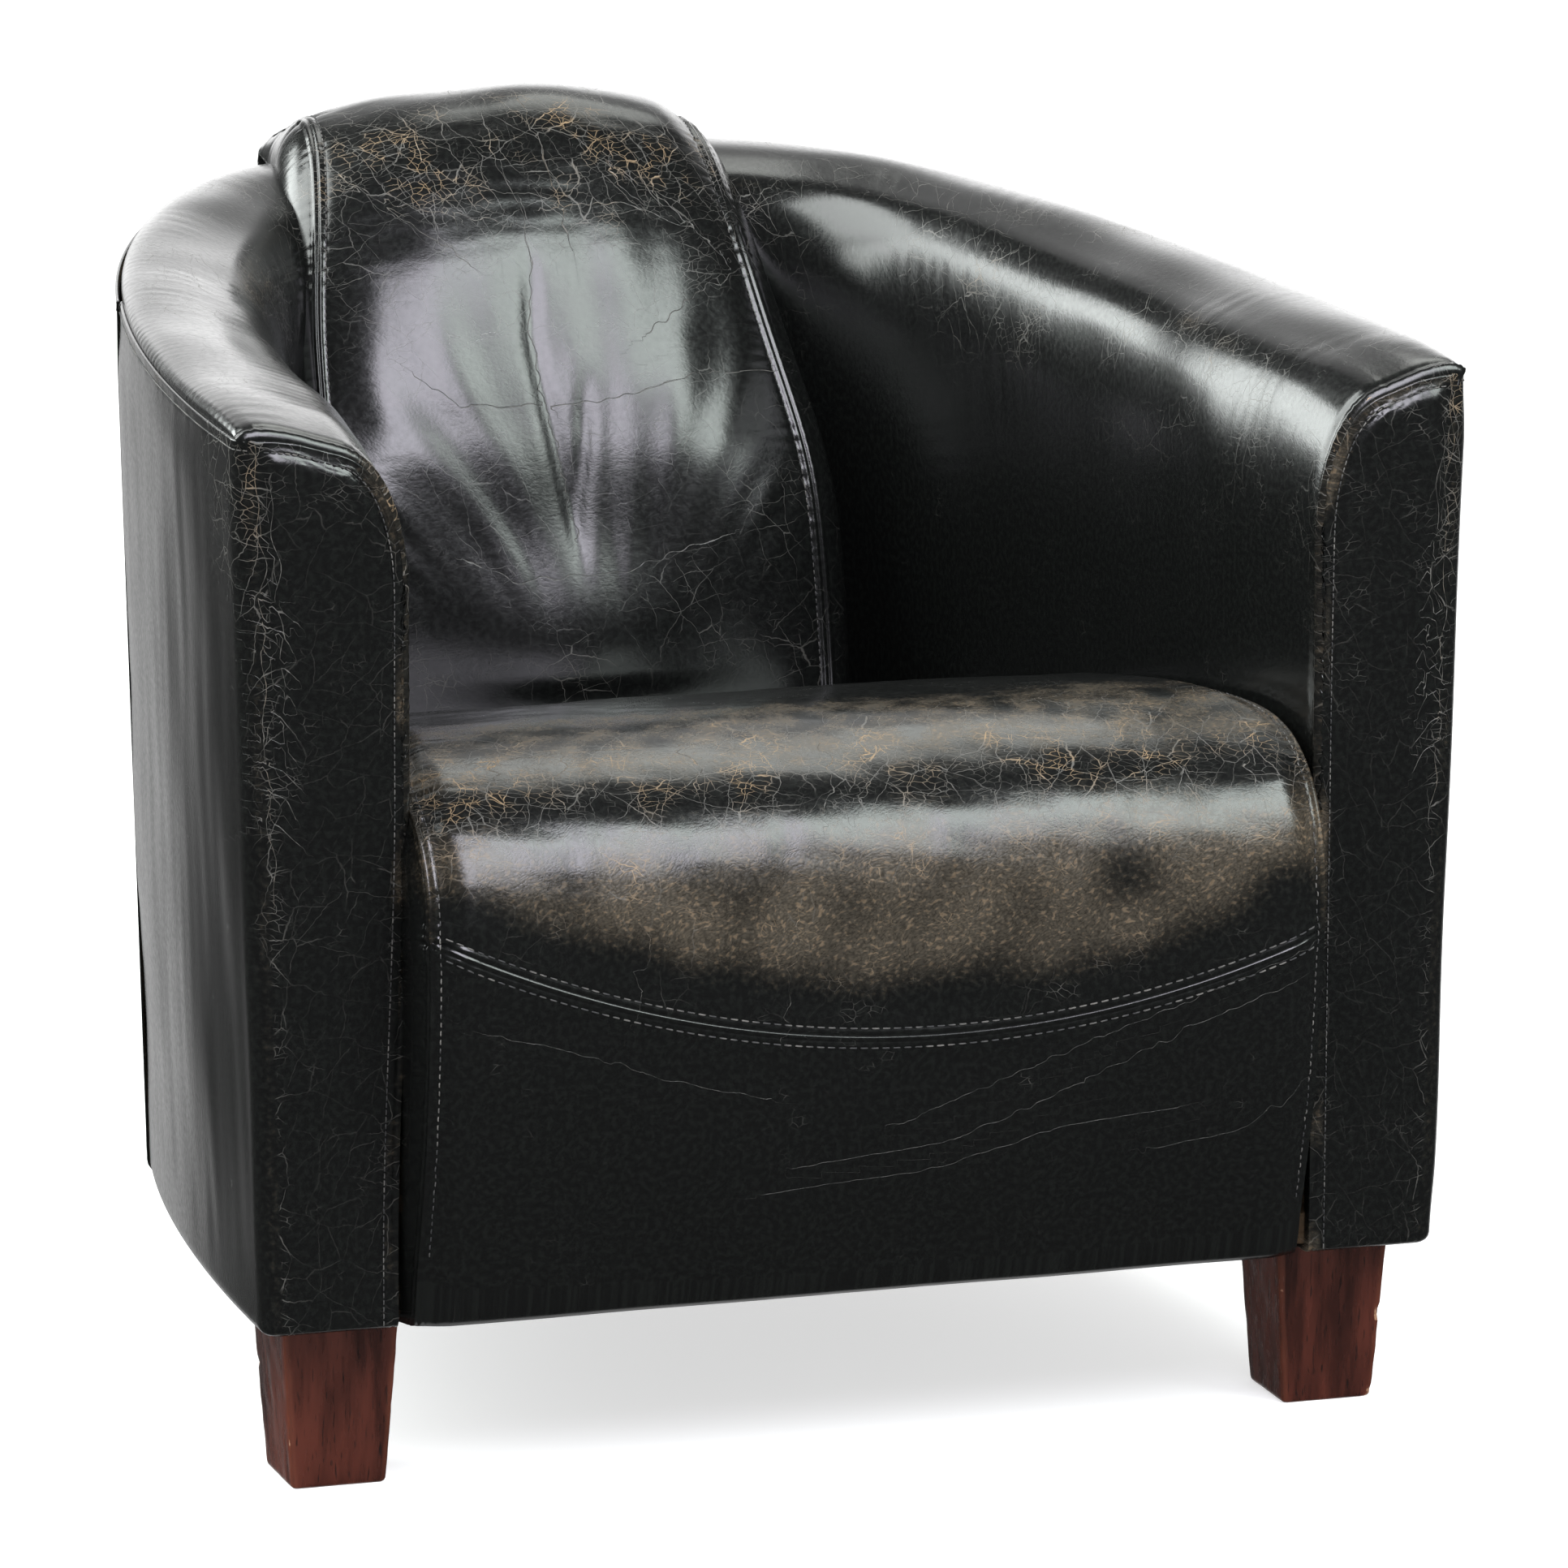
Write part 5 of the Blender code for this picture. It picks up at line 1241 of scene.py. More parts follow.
# cracks in the seat, deep and faint, as (across, length from the back)
SEAT_CRACKS = [[(-0.213, 0.478), (-0.223, 0.506), (-0.230, 0.528)],
               [(-0.171, 0.479), (-0.184, 0.503), (-0.187, 0.529)], [(-0.161, 0.503), (-0.167, 0.532)],
               [(-0.105, 0.470), (-0.094, 0.500), (-0.101, 0.520)],
               [(-0.016, 0.478), (-0.020, 0.518), (-0.030, 0.541)],
               [(0.010, 0.475), (0.003, 0.518), (-0.007, 0.541)], [(0.105, 0.514), (0.105, 0.536)],
               [(0.177, 0.507), (0.164, 0.535)], [(0.243, 0.483), (0.233, 0.525), (0.236, 0.543)],
               [(-0.233, 0.479), (-0.171, 0.473), (-0.095, 0.470)]]
SEAT_FAINT = [[(-0.053, 0.600), (-0.059, 0.645), (-0.062, 0.680)], [(-0.145, 0.610), (-0.152, 0.660)],
              [(0.060, 0.480), (0.120, 0.500), (0.200, 0.496)],
              [(0.270, 0.645), (0.205, 0.668), (0.140, 0.690), (0.070, 0.716), (0.010, 0.738)],
              [(0.255, 0.668), (0.190, 0.690), (0.120, 0.722), (0.040, 0.752), (-0.050, 0.762)],
              [(0.185, 0.742), (0.110, 0.748), (0.030, 0.770), (-0.070, 0.778)],
              [(-0.240, 0.664), (-0.190, 0.678), (-0.130, 0.700), (-0.070, 0.716)],
              [(0.262, 0.735), (0.225, 0.760), (0.170, 0.768)]]


def seat_swelling(run, share, run_at, seam_run, d_arc, d_side):
    """How far the foam lifts each place: the coarse bag's swelling, pinched at the seams."""
    rows, columns = SEAT_BAG
    coarse_run, coarse_turn = coarse_sides(run_at, columns)
    coarse_share = np.linspace(0.0, 1.0, rows)
    plain = 0.006 + 0.004 * (1 - np.exp(-np.maximum(seam_run - np.abs(coarse_run), 0.0) / 0.05))
    plain = np.broadcast_to(plain, SEAT_BAG) * smoothstep(0.0, 0.1, coarse_share)[:, None]
    bag = seat_bag(coarse_turn, coarse_share, SEAT_SMALLER)
    held = np.zeros(bag.shape[:2])
    held[:, columns:] = 1.0
    held[:, :columns][:, np.abs(np.abs(coarse_run) - seam_run) < 0.006] = 0.7
    held[:2] = held[-3:] = 1.0
    coarse_arc = arc_share(coarse_turn)
    held[:, :columns][np.abs(coarse_share[:, None] - coarse_arc) * SEAT_LENGTH < 0.006] = 0.5
    out = swollen(bag, held, "seat_bag", 0.020, plain, 0.55)
    along_seat = blend_weights(share[:, len(run) // 2], coarse_share)
    puff = along_seat @ out @ blend_weights(run, coarse_run).T - SEAT_SMALLER
    puff = (puff * smoothstep(0.0, 0.012, np.abs(d_side))
            * (0.35 + 0.65 * smoothstep(0.0, 0.03, np.abs(d_arc))))
    puff = np.clip(puff, -SEAT_SMALLER, 0.03)
    puff = (SEAT_PUFF * np.tanh(puff / SEAT_PUFF)
            * (1 - 0.75 * smoothstep(0.0, 0.02, d_side)))
    return puff


def seat_height(puff, face, run, s, d_arc, d_side, inner):
    """The swelling, the ridges of the seams, the pulls beside them, and a little unevenness."""
    to_arc, to_side = np.abs(d_arc), np.abs(d_side)
    h = puff + np.where(inner, seam_ridge(d_arc), 0.0)
    h = h + seam_ridge(d_side, 0.0011, 0.0009, SEAT_STITCH)
    pull = ripple_line(run[None], 0.0072, 121)
    side_load = 0.35 + 0.65 * smoothstep(0.05, 0.25, np.abs(run))[None]
    h = h + (0.0003 * pull * np.exp(-to_arc / 0.012) * smoothstep(0.001, 0.006, to_arc)
             * side_load * inner)
    tuft = ripple_line(s, 0.0090, 123) + 0.5 * ripple_line(s, 0.021, 125)
    h = h + 0.0007 * tuft * np.exp(-to_side / 0.013) * smoothstep(0.001, 0.006, to_side)
    away = smoothstep(0.0, 0.03, to_side) * smoothstep(0.0, 0.02, to_arc)
    h = h + away * (0.0007 * ripple(face, 0.16, 127)
                    + 0.00012 * ripple(face * (1, 1, 1.4), 0.026, 129))
    h = h * (1 - 0.35 * smoothstep(-0.01, 0.03, d_arc))
    return h


def seat_wear(face, run, s, d_arc, d_side, inner):
    """The crown is crazed, the front is rubbed brown, and cracks cross both."""
    cloud = ripple(face, 0.07, 131)
    fleck = ripple(face, 0.025, 133)
    crown = bump(s, 0.500, 0.060)
    craze = crown * (0.62 + 0.14 * cloud) + 0.10 + 0.05 * cloud
    craze = craze * smoothstep(0.004, -0.010, d_arc) * (inner * 1.0 + ~inner * 0.4)
    rub = (0.80 * smoothstep(0.515, 0.585, s) * (0.80 + 0.16 * cloud)
           + 0.46 * (1 + 0.35 * fleck) * smoothstep(0.34, 0.42, s) * smoothstep(0.535, 0.480, s))
    rub = (rub * smoothstep(-0.012, -0.060, d_arc)
           + 0.30 * np.exp(-np.abs(d_side) / 0.006) * smoothstep(0.35, 0.5, s) * (d_arc < 0))
    shaken = run[None] + 0.0022 * ripple(face, 0.013, 135)
    scar, other = strokes(shaken, s, SEAT_CRACKS), strokes(shaken, s, SEAT_FAINT, 3.3)
    scar = np.where(np.abs(scar) < np.abs(other), scar, other)
    return craze, rub, scar


def seat_cushion():
    """The seat on one fine grid: rows follow the curved seam, columns the two side seams."""
    near = steps(0.0, (0.0085, 0.00085), (0.020, 0.0023))
    arc_middle = float(arc_share(np.array([0.0]))[0])
    up = np.r_[near, steps(near[-1], (arc_middle * SEAT_LENGTH, 0.0033))[1:]]
    down = np.r_[near, steps(near[-1], ((1 - arc_middle) * SEAT_LENGTH, 0.0033))[1:]]
    flat_run = SEAT_HALF - SEAT_ROUND
    seam_run = flat_run + SEAT_ROUND * math.pi / 2 * 0.55
    round_end = flat_run + SEAT_ROUND * math.pi / 2
    run = np.r_[steps(0.0, (flat_run, 0.0033), (seam_run - 0.0085, 0.0024),
                      (seam_run + 0.0085, 0.00095), (round_end, 0.002)),
                round_end + steps(0.0, (SEAT_SIDE - SEAT_ROUND, 0.003))[1:]]
    run_at = np.r_[0.0, flat_run, round_end, round_end + SEAT_SIDE - SEAT_ROUND]
    turn = mirrored(np.interp(run, run_at, TURN_AT))
    run = mirrored(run)
    arc = arc_share(turn)[None]
    slope = np.gradient(arc[0] * SEAT_LENGTH, run)[None]
    above = arc - (up[:, None] + (arc - arc_middle) * SEAT_LENGTH
                   * smoothstep(0.015, 0.30, up[:, None])) / SEAT_LENGTH
    below = arc + (down[1:, None] - (arc - arc_middle) * SEAT_LENGTH
                   * smoothstep(0.015, 0.20, down[1:, None])) / SEAT_LENGTH
    share = np.vstack([above[::-1], below]).clip(0.0, 1.0)
    share += np.arange(len(share))[:, None] * 1e-7
    face = seat_point(turn[None], share)
    normal = grid_normals(face) * SEAT_OUT
    d_arc, d_side = seat_seams(run[None], seam_run, share, arc, slope)
    inner = np.abs(turn)[None] < SEAT_SEAM
    puff = seat_swelling(run, share, run_at, seam_run, d_arc, d_side)
    s = share * SEAT_LENGTH
    h = seat_height(puff, face, run, s, d_arc, d_side, inner)
    face = face + normal * h[..., None]

    hem = np.array([(0.0018, 0.40), (0.0042, 0.75), (0.0080, 0.95), (0.0130, 1.0)])
    turned = np.repeat(face[-1:], len(hem), 0)
    turned[..., 1] += hem[:, :1]
    turned[..., 2] += (HEM_Z - turned[..., 2]) * hem[:, 1:]
    skin = np.concatenate([face, turned])
    edge, other = skin[:, [-1]], skin[:, [0]]
    t = np.linspace(0.02, 0.98, UNDER_COLUMNS)[None]
    x = edge[..., 0] * (1 - t) + other[..., 0] * t
    points = np.concatenate([skin, under_seat(edge, x)], 1)

    craze, rub, scar = seat_wear(face, run, s, d_arc, d_side, inner)
    pad = [(0, len(hem)), (0, UNDER_COLUMNS)]
    run_skin = np.pad(run, (0, UNDER_COLUMNS), "edge")[None]
    attributes = {"skin": skin_place(run_skin, np.pad(s, pad, "edge"), 12.0),
                  "craze": np.pad(craze, pad, "edge"), "rub": np.pad(rub, pad, "edge"),
                  "scar": np.pad(scar, pad, constant_values=1.0)}
    made = make_padded("seat_cushion", points, SEAT_OUT < 0, attributes,
                       ("seat_cover", "front_cover", "seat_gusset_left", "seat_gusset_right",
                        "seat_foam", "front_foam"))
    return face, normal, run, s, d_arc, seam_run


seat = seat_cushion()

# %% [markdown]
# # The back cushion
# The back cushion lies in the bend of the tub, climbs its inside and rolls over the rim to the outer
# seam. It has a middle panel and a gusset down each side. Decades of backs have pressed a fold
# down its middle, and the roll on top has cracked where it bends. It is made as the seat is: a bag
# swelled by cloth, then seams, folds and creases as heights on a fine grid.

# %% Back cushion
PAD_SHARES = (0.0, 0.28, 0.36, 0.48, 0.60, 0.70, 0.82, 1.0)
PAD_EDGES = {1: (0.165, 0.162, 0.153, 0.142, 0.134, 0.131, 0.130, 0.128),
             -1: (0.186, 0.186, 0.186, 0.184, 0.176, 0.170, 0.164, 0.158)}
PAD_ROUNDS = {1: (0.026, 0.026, 0.026, 0.026, 0.026, 0.026, 0.026, 0.022),
              -1: (0.014, 0.014, 0.014, 0.016, 0.018, 0.022, 0.026, 0.022)}
PAD_FALL = {1: (0.012, (0.3, 0.5, 0.7, 1.1, 1.7, 2.2, 2.4, 2.0)),
            -1: (0.055, (0.3, 0.4, 0.5, 0.7, 0.9, 1.1, 1.3, 1.2))}
# lines on the cushion as (across, length up from the foot)
PAD_FOLDS = [[(-0.031, 0.300), (-0.032, 0.275), (-0.037, 0.231), (-0.034, 0.195), (-0.027, 0.148),
              (-0.021, 0.101), (-0.020, 0.060)],
             [(-0.004, 0.220), (-0.010, 0.169), (-0.017, 0.130), (-0.021, 0.090)]]
PAD_CRACKS = [[(-0.035, 0.405), (-0.041, 0.374), (-0.042, 0.353), (-0.031, 0.311), (-0.032, 0.275),
               (-0.037, 0.231), (-0.034, 0.195), (-0.027, 0.148), (-0.021, 0.101)],
              [(-0.014, 0.405), (-0.012, 0.375), (-0.009, 0.345), (-0.003, 0.288)],
              [(-0.115, 0.210), (-0.089, 0.189), (-0.044, 0.187), (-0.010, 0.187), (0.030, 0.192),
               (0.069, 0.202), (0.122, 0.205)],
              [(-0.146, 0.361), (-0.106, 0.311), (-0.068, 0.278)],
              [(-0.144, 0.343), (-0.093, 0.317), (-0.041, 0.304)],
              [(0.078, 0.392), (0.085, 0.365), (0.058, 0.330), (0.050, 0.309)],
              [(0.028, 0.348), (0.060, 0.322), (0.104, 0.272)],
              [(0.036, 0.363), (0.032, 0.337), (0.047, 0.317)],
              [(-0.019, 0.314), (0.035, 0.317), (0.081, 0.298), (0.105, 0.278)],
              [(0.036, 0.228), (0.074, 0.254), (0.114, 0.275)],
              [(-0.090, 0.400), (-0.087, 0.345), (-0.075, 0.306)],
              [(-0.099, 0.096), (-0.058, 0.078), (0.005, 0.080), (0.079, 0.101)]]


def edge_value(share, values):
    """Values at the shares above, joined by a line with its corners rounded off."""
    fine = np.linspace(-0.3, 1.3, 321)
    weights = np.exp(-0.5 * ((fine[:, None] - fine[None]) / 0.05) ** 2)
    line = np.interp(fine, PAD_SHARES, values)
    return np.interp(share, fine, weights @ line / weights.sum(1))


def pad_edge(side, share):
    """Where the cushion ends on one side, the radius it is rounded by, and how fast it falls."""
    return tuple(edge_value(share, values)
                 for values in (PAD_EDGES[side], PAD_ROUNDS[side], PAD_FALL[side][1]))


def tub_lines(x):
    """Points (y, z) of the tub's inside leather behind the cushion at each x, rim seam first."""
    u = np.linspace(0.0008, 0.62, 220)
    depth, height, _ = padded_section(u)
    spots = tub_point(u[:, None], depth - PAD_SKIN, height)[:, ::3]
    return np.array([[np.interp(x, spots[:, k, 0], spots[:, k, i]) for i in (1, 2)]
                     for k in range(spots.shape[1])]).transpose(2, 0, 1)


SIDE_REACH = np.arange(0.0, 0.100, 0.001)


def sides_deep(side):
    """How far the cushion's side reaches behind its face before it meets the tub's leather."""
    half, _, fall = pad_edge(side, pad_rows)
    deep = []
    for spot, ahead, line, start in zip(pad_spot, pad_ahead, tub_lines(half),
                                        fall * (half - PAD_FALL[side][0]) ** 2):
        wall = line[int(np.argmax(line[:, 1])):][::-1]
        y = spot[0] + ahead[1] * (start + SIDE_REACH)
        z = spot[1] - ahead[0] * (start + SIDE_REACH)
        stop = (z < wall[-1, 1]) & (y > np.interp(z, wall[:, 1], wall[:, 0]))
        at = max(int(stop.argmax()) - 1, 0) if stop.any() else -1
        deep.append(SIDE_REACH[at])
    return np.array(deep)


pad_rows = np.linspace(0.0, 1.0, 45)
pad_spot, pad_ahead = profile_at(PAD_PROFILE, pad_rows)
pad_sides = {side: sides_deep(side) for side in (-1, 1)}
print("cushion sides", {k: np.round(v[::8] * 1000).tolist() for k, v in pad_sides.items()}, "mm deep")


def pad_point(turn, share):
    """The back cushion's face, as the seat's. It sits a little to the left, its right edge falls
    away more than its left, and the sides are as deep as the tub allows."""
    turn, share = np.broadcast_arrays(np.asarray(turn, float), np.asarray(share, float))
    spot, ahead = profile_at(PAD_PROFILE, share)
    thin = 1.0 - 0.6 * smoothstep(0.90, 1.0, share)
    x, fallen = np.zeros(turn.shape), np.zeros(turn.shape)
    for side in (-1, 1):
        half, radius, fall = pad_edge(side, share)
        deep = np.maximum(np.interp(share, pad_rows, pad_sides[side]), radius + 0.001)
        across, inward = rounded_edge(np.abs(turn), half, radius * thin, deep * thin)
        here = np.sign(turn) == side
        start = PAD_FALL[side][0]
        x = np.where(here, side * across, x)
        fallen = np.where(here, inward + fall * thin * (across - start).clip(0.0) ** 2, fallen)
    return np.stack([x, spot[..., 0] + ahead[..., 1] * fallen,
                     spot[..., 1] - ahead[..., 0] * fallen], -1)


PAD_OUT = float(np.sign(-grid_normals(pad_point(np.linspace(-1, 1, 9)[None],
                                                np.linspace(0.2, 0.4, 9)[:, None]))[4, 4, 1]))


PAD_BAG = (56, 59)
PAD_SMALLER, PAD_PUFF = 0.005, 0.0045


def pad_ring(face):
    """Close each row behind the cushion with a few points straight across."""
    t = np.linspace(0.03, 0.97, 5)[None, :, None]
    return np.concatenate([face, face[:, [-1]] * (1 - t) + face[:, [0]] * t], 1)


def pad_swelling(run, share, run_at, seam_run, d_side):
    """How far the foam lifts each place, as in the seat."""
    rows, columns = PAD_BAG
    coarse_run, coarse_turn = coarse_sides(run_at, columns)
    coarse_share = np.linspace(0.0, 1.0, rows)
    coarse = pad_point(coarse_turn[None], coarse_share[:, None])
    bag = pad_ring(coarse - grid_normals(coarse) * PAD_OUT * PAD_SMALLER)
    held = np.zeros(bag.shape[:2])
    held[:, columns:] = 1.0
    held[:, :3] = held[:, columns - 3:columns] = 1.0
    held[:, :columns][:, np.abs(np.abs(coarse_run) - seam_run) < 0.005] = 0.75
    held[:2] = held[-4:] = 1.0
    plain = 0.005 + 0.005 * (1 - np.exp(-np.maximum(seam_run - np.abs(coarse_run), 0.0) / 0.03))
    out = swollen(bag, held, "back_bag", 0.022, np.broadcast_to(plain, PAD_BAG), 0.18)
    puff = blend_weights(share, coarse_share) @ out @ blend_weights(run, coarse_run).T - PAD_SMALLER
    puff = puff * smoothstep(0.0, 0.012, np.abs(d_side))
    puff = PAD_PUFF * np.tanh(puff / PAD_PUFF) * smoothstep(1.0, 0.93, share)[:, None]
    return puff


def pad_height(puff, face, s, d_side):
    """The swelling, the folds, the fullness above and below them, pleats, creases and the seams."""
    across = face[..., 0]
    # the folds down the middle, the fullness at the top and the foot, and pleats between them
    panel = smoothstep(0.0, -0.035, d_side)
    h = puff
    for line in PAD_FOLDS:
        gap, at = line_distance(across, s, line)
        whole = line_length(line)
        depth = smoothstep(0.0, 0.05, at) * smoothstep(whole, whole - 0.06, at)
        h = h - depth * (0.0007 * bump(gap, 0.0, 0.0042) + 0.0009 * bump(gap, 0.0, 0.017))
        h = h + depth * 0.0003 * bump(gap, 0.0095, 0.0060)
    h = h + 0.0050 * bump(across, -0.010, 0.042) * bump(s, 0.42, 0.07)
    h = h + 0.0070 * bump(across, -0.010, 0.080) * bump(s, 0.030, 0.050) * smoothstep(-0.005, 0.02, s)
    fan = np.stack([across / (0.35 + 0.65 * smoothstep(0.03, 0.28, s)), s * 0.16], -1)
    body = smoothstep(0.38, 0.30, s) * smoothstep(0.02, 0.12, s) * panel
    h = h + 0.00026 * ripple(fan, 0.050, 141) * body + 0.0012 * ripple(face, 0.15, 143) * panel
    crease = ripple(np.stack([across * 0.35, s], -1), 0.016, 145)
    h = h + 0.00013 * crease * bump(s, 0.345, 0.050) * panel
    tuft = ripple_line(s, 0.0068, 147)
    to_side = np.abs(d_side)
    h = h + 0.0004 * tuft * np.exp(-to_side / 0.010) * smoothstep(0.0008, 0.005, to_side)
    # the seam: a ridge each side of a groove, then the groove of its stitches
    h = (h + 0.0007 * bump(d_side, -0.0020, 0.0011) + 0.0006 * bump(d_side, 0.0021, 0.0010)
         - 0.0010 * bump(d_side, 0.0, 0.0010))
    h = h - 0.0005 * bump(to_side, PAD_STITCH, 0.0014)
    return h


def pad_wear(face, across, s, d_side):
    """The roll on top is crazed, the seams are rubbed, and cracks run down from the roll."""
    cloud = ripple(face, 0.06, 151)
    craze = 0.62 * bump(s, 0.355, 0.050) * (0.85 + 0.15 * cloud) + 0.20 + 0.08 * cloud
    craze = np.where(d_side > 0.0, 0.6 * craze, craze)
    rub = 0.10 * bump(s, 0.37, 0.04) * (0.3 + cloud) + 0.10 * np.exp(-np.abs(d_side) / 0.004)
    jitter = 0.0010 * ripple(face, 0.014, 153)
    scar = strokes(across + jitter, s + jitter[::-1], PAD_CRACKS, 1.3)
    return craze, rub, scar


def back_cushion():
    """The back cushion on one fine grid: rows climb from its foot, columns cross it."""
    flat_run, round_run, side_run = 0.132, 0.036, 0.055
    seam_run, round_end = flat_run + round_run * 0.10, flat_run + round_run
    run = np.r_[steps(0.0, (seam_run - 0.007, 0.0026), (seam_run + 0.007, 0.0008),
                      (round_end, 0.0022)),
                round_end + steps(0.0, (side_run, 0.0032))[1:]]
    run_at = np.r_[0.0, flat_run, round_end, round_end + side_run]
    turn = mirrored(np.interp(run, run_at, TURN_AT))
    run = mirrored(run)
    share = steps(0.0, (1.0, 0.0026 / PAD_LENGTH))
    face = pad_point(turn[None], share[:, None])
    normal = grid_normals(face) * PAD_OUT
    s = np.broadcast_to((share * PAD_LENGTH - PAD_SUNK)[:, None], face.shape[:2])
    across = face[..., 0]
    d_side = np.broadcast_to(np.abs(run)[None], s.shape) - seam_run
    puff = pad_swelling(run, share, run_at, seam_run, d_side)
    h = pad_height(puff, face, s, d_side)
    face = face + normal * h[..., None]
    points = pad_ring(face)
    craze, rub, scar = pad_wear(face, across, s, d_side)
    pad = [(0, 0), (0, points.shape[1] - face.shape[1])]
    attributes = {"skin": skin_place(np.pad(across, pad, "edge"), np.pad(s, pad, "edge"), 15.0),
                  "craze": np.pad(craze, pad), "rub": np.pad(rub, pad),
                  "scar": np.pad(scar, pad, constant_values=1.0)}
    made = make_padded("back_cushion", points, PAD_OUT < 0, attributes,
                       ("back_cushion_foam", "back_cushion_cover", "back_cushion_gusset_left",
                        "back_cushion_gusset_right"))
    return face, normal, run, seam_run


pad = back_cushion()

# %% [markdown]
# # Stitches
# Every seam has its rows of stitches. A stitch is so small that a short tube of five sides is
# enough, but there are about two thousand. They are laid along lines read off the finished
# surfaces, at the machine's pitch, so they sink in the grooves wherever the leather went.

# %% Stitch rows
RIM_PITCH = 0.0042


def row_of(line, normal, pitch):
    """Even places along a line, with the surface's normal at each."""
    spots, at = even_steps(line, pitch)
    up = np.stack([np.interp(at, walked(line), normal[:, i]) for i in range(3)], 1)
    return spots[1:-1], unit(up)[1:-1]


def grid_row(face, normal, rows, columns, pitch):
    """Stitch places along a line on a grid, given as rows and columns between its points."""
    rows, columns = np.broadcast_arrays(np.asarray(rows, float), np.asarray(columns, float))
    return row_of(sample(face, rows, columns), sample(normal, rows, columns), pitch)


def crossing(values, level):
    """Per column, the row where rising values pass a level."""
    rows = np.arange(len(values), dtype=float)
    return np.array([np.interp(level, column, rows) for column in values.T])


for side, sign in SIDES:
    flat, side_line, side_normal = outside[side]
    front_normal = np.tile([0.0, -1.0, 0.0], (len(flat), 1))
    stitches(f"rim_stitches_{side}", [row_of(flat, front_normal, RIM_PITCH),
                                      row_of(side_line, side_normal, RIM_PITCH)], THREAD)

out, normal, d, ends = back_grid
count = d.shape[1]
back_rows = [grid_row(out, normal, band_rows(d), np.arange(count), RIM_PITCH)]
first_column = np.interp(BAND, ends[0][:20], np.arange(20))
for column in (first_column, count - 1 - first_column):
    back_rows.append(grid_row(out, normal, np.arange(6, len(d) - 6), column, REAR_PITCH))
stitches("back_stitches", back_rows, THREAD)

face, normal, run, s, d_arc, seam_run = seat
columns = np.flatnonzero(np.abs(run) < seam_run - 0.004)
arc_rows = [grid_row(face, normal, crossing(d_arc[:, columns], offset), columns, 0.0067)
            for offset in (-ARC_STITCH, ARC_STITCH)]
stitches("front_seam_stitches", arc_rows, THREAD, length=0.0044, radius=0.0005)


def side_rows(face, normal, run, offset, first, pitch):
    """A row of stitches up each side of a cushion."""
    return [grid_row(face, normal, np.arange(first, len(face) - 3),
                     np.interp(sign * offset, run, np.arange(len(run))), pitch)
            for sign in (-1, 1)]


stitches("seat_side_stitches",
         side_rows(face, normal, run, seam_run - SEAT_STITCH, len(s) // 4, 0.0052), THREAD)
face, normal, run, seam_run = pad
stitches("back_cushion_stitches",
         side_rows(face, normal, run, seam_run - PAD_STITCH, 3, 0.0046), THREAD)

# %% [markdown]
# # Legs
# The legs are plain square tapers of stained mahogany, lacquered, with their edges eased by hand
# and knocked by shoes and vacuum cleaners. Each is a stack of rounded squares. The corner is tighter
# than a bevel would make it, and small seeded dents eat into it. An `edge` value tells the finish
# where the corners are, so that the stain can wear through there.

# %% Legs
LEG_FOOT, LEG_TOP, LEG_HEIGHT, LEG_CORNER, LEG_EASED = 0.057, 0.070, 0.100, 0.0024, 0.0016


def leg(name, node_name, seed):
    """One tapered leg in the place of a plain one."""
    low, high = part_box(node_name)
    centre = ((low.x + high.x) / 2, (low.y + high.y) / 2)
    turn = np.linspace(0.0, math.pi / 2, 7)
    straight = np.linspace(-1.0, 1.0, 21)[1:-1]
    # four quarter turns of one side: its straight run, then its rounded corner
    rings, edges = [], []
    z = steps(0.0, (0.004, 0.0010), (LEG_HEIGHT - 0.002, 0.0040), (LEG_HEIGHT, 0.0010))
    half = (LEG_FOOT + (LEG_TOP - LEG_FOOT) * z / LEG_HEIGHT)[:, None] / 2
    half = half - LEG_EASED * (1 - np.sqrt(1 - (1 - (z / 0.004).clip(0, 1)) ** 2))[:, None]
    flat = half - LEG_CORNER
    for quarter in range(4):
        flat_x = straight[None] * flat
        flat_y = np.broadcast_to(-half, flat_x.shape)
        arc_x = flat + LEG_CORNER * np.sin(turn)
        arc_y = -flat - LEG_CORNER * np.cos(turn)
        x, y = np.hstack([flat_x, arc_x]), np.hstack([flat_y, arc_y])
        cosine, sine = math.cos(quarter * math.pi / 2), math.sin(quarter * math.pi / 2)
        rings.append(np.stack([x * cosine - y * sine, x * sine + y * cosine], -1))
        edges.append(np.hstack([np.exp(-(flat - np.abs(flat_x)) / 0.0025) * 0.8,
                                np.ones_like(arc_x)]))
    ring, edge = np.concatenate(rings, 1), np.concatenate(edges, 1)
    height = np.broadcast_to(z[:, None, None], ring.shape[:2] + (1,))
    points = np.concatenate([ring + centre, height], -1)
    normal = unit(np.concatenate([ring, np.zeros(ring.shape[:2] + (1,))], -1))
    dents = smoothstep(1.1, 1.9, ripple(points, 0.016, seed)) * smoothstep(0.6, 1.0, edge)
    uneven = 0.00010 * (1 + ripple(points, 0.020, seed + 1))
    points = points - normal * (0.0010 * dents + uneven)[..., None]
    edge = np.maximum(edge, np.exp(-z / 0.003)[:, None]) + 0.4 * dents
    grid = points.shape[:2]
    return make_piece(name, points, grid_faces(*grid, around=True)[:, ::-1], MAHOGANY,
                      {"edge": edge}, end_caps(*grid), (node_name,), sharp=50)


for number, name in enumerate(("front_left", "front_right", "rear_left", "rear_right")):
    leg(f"tapered_leg_{name}", f"leg_{name}", 201 + 7 * number)

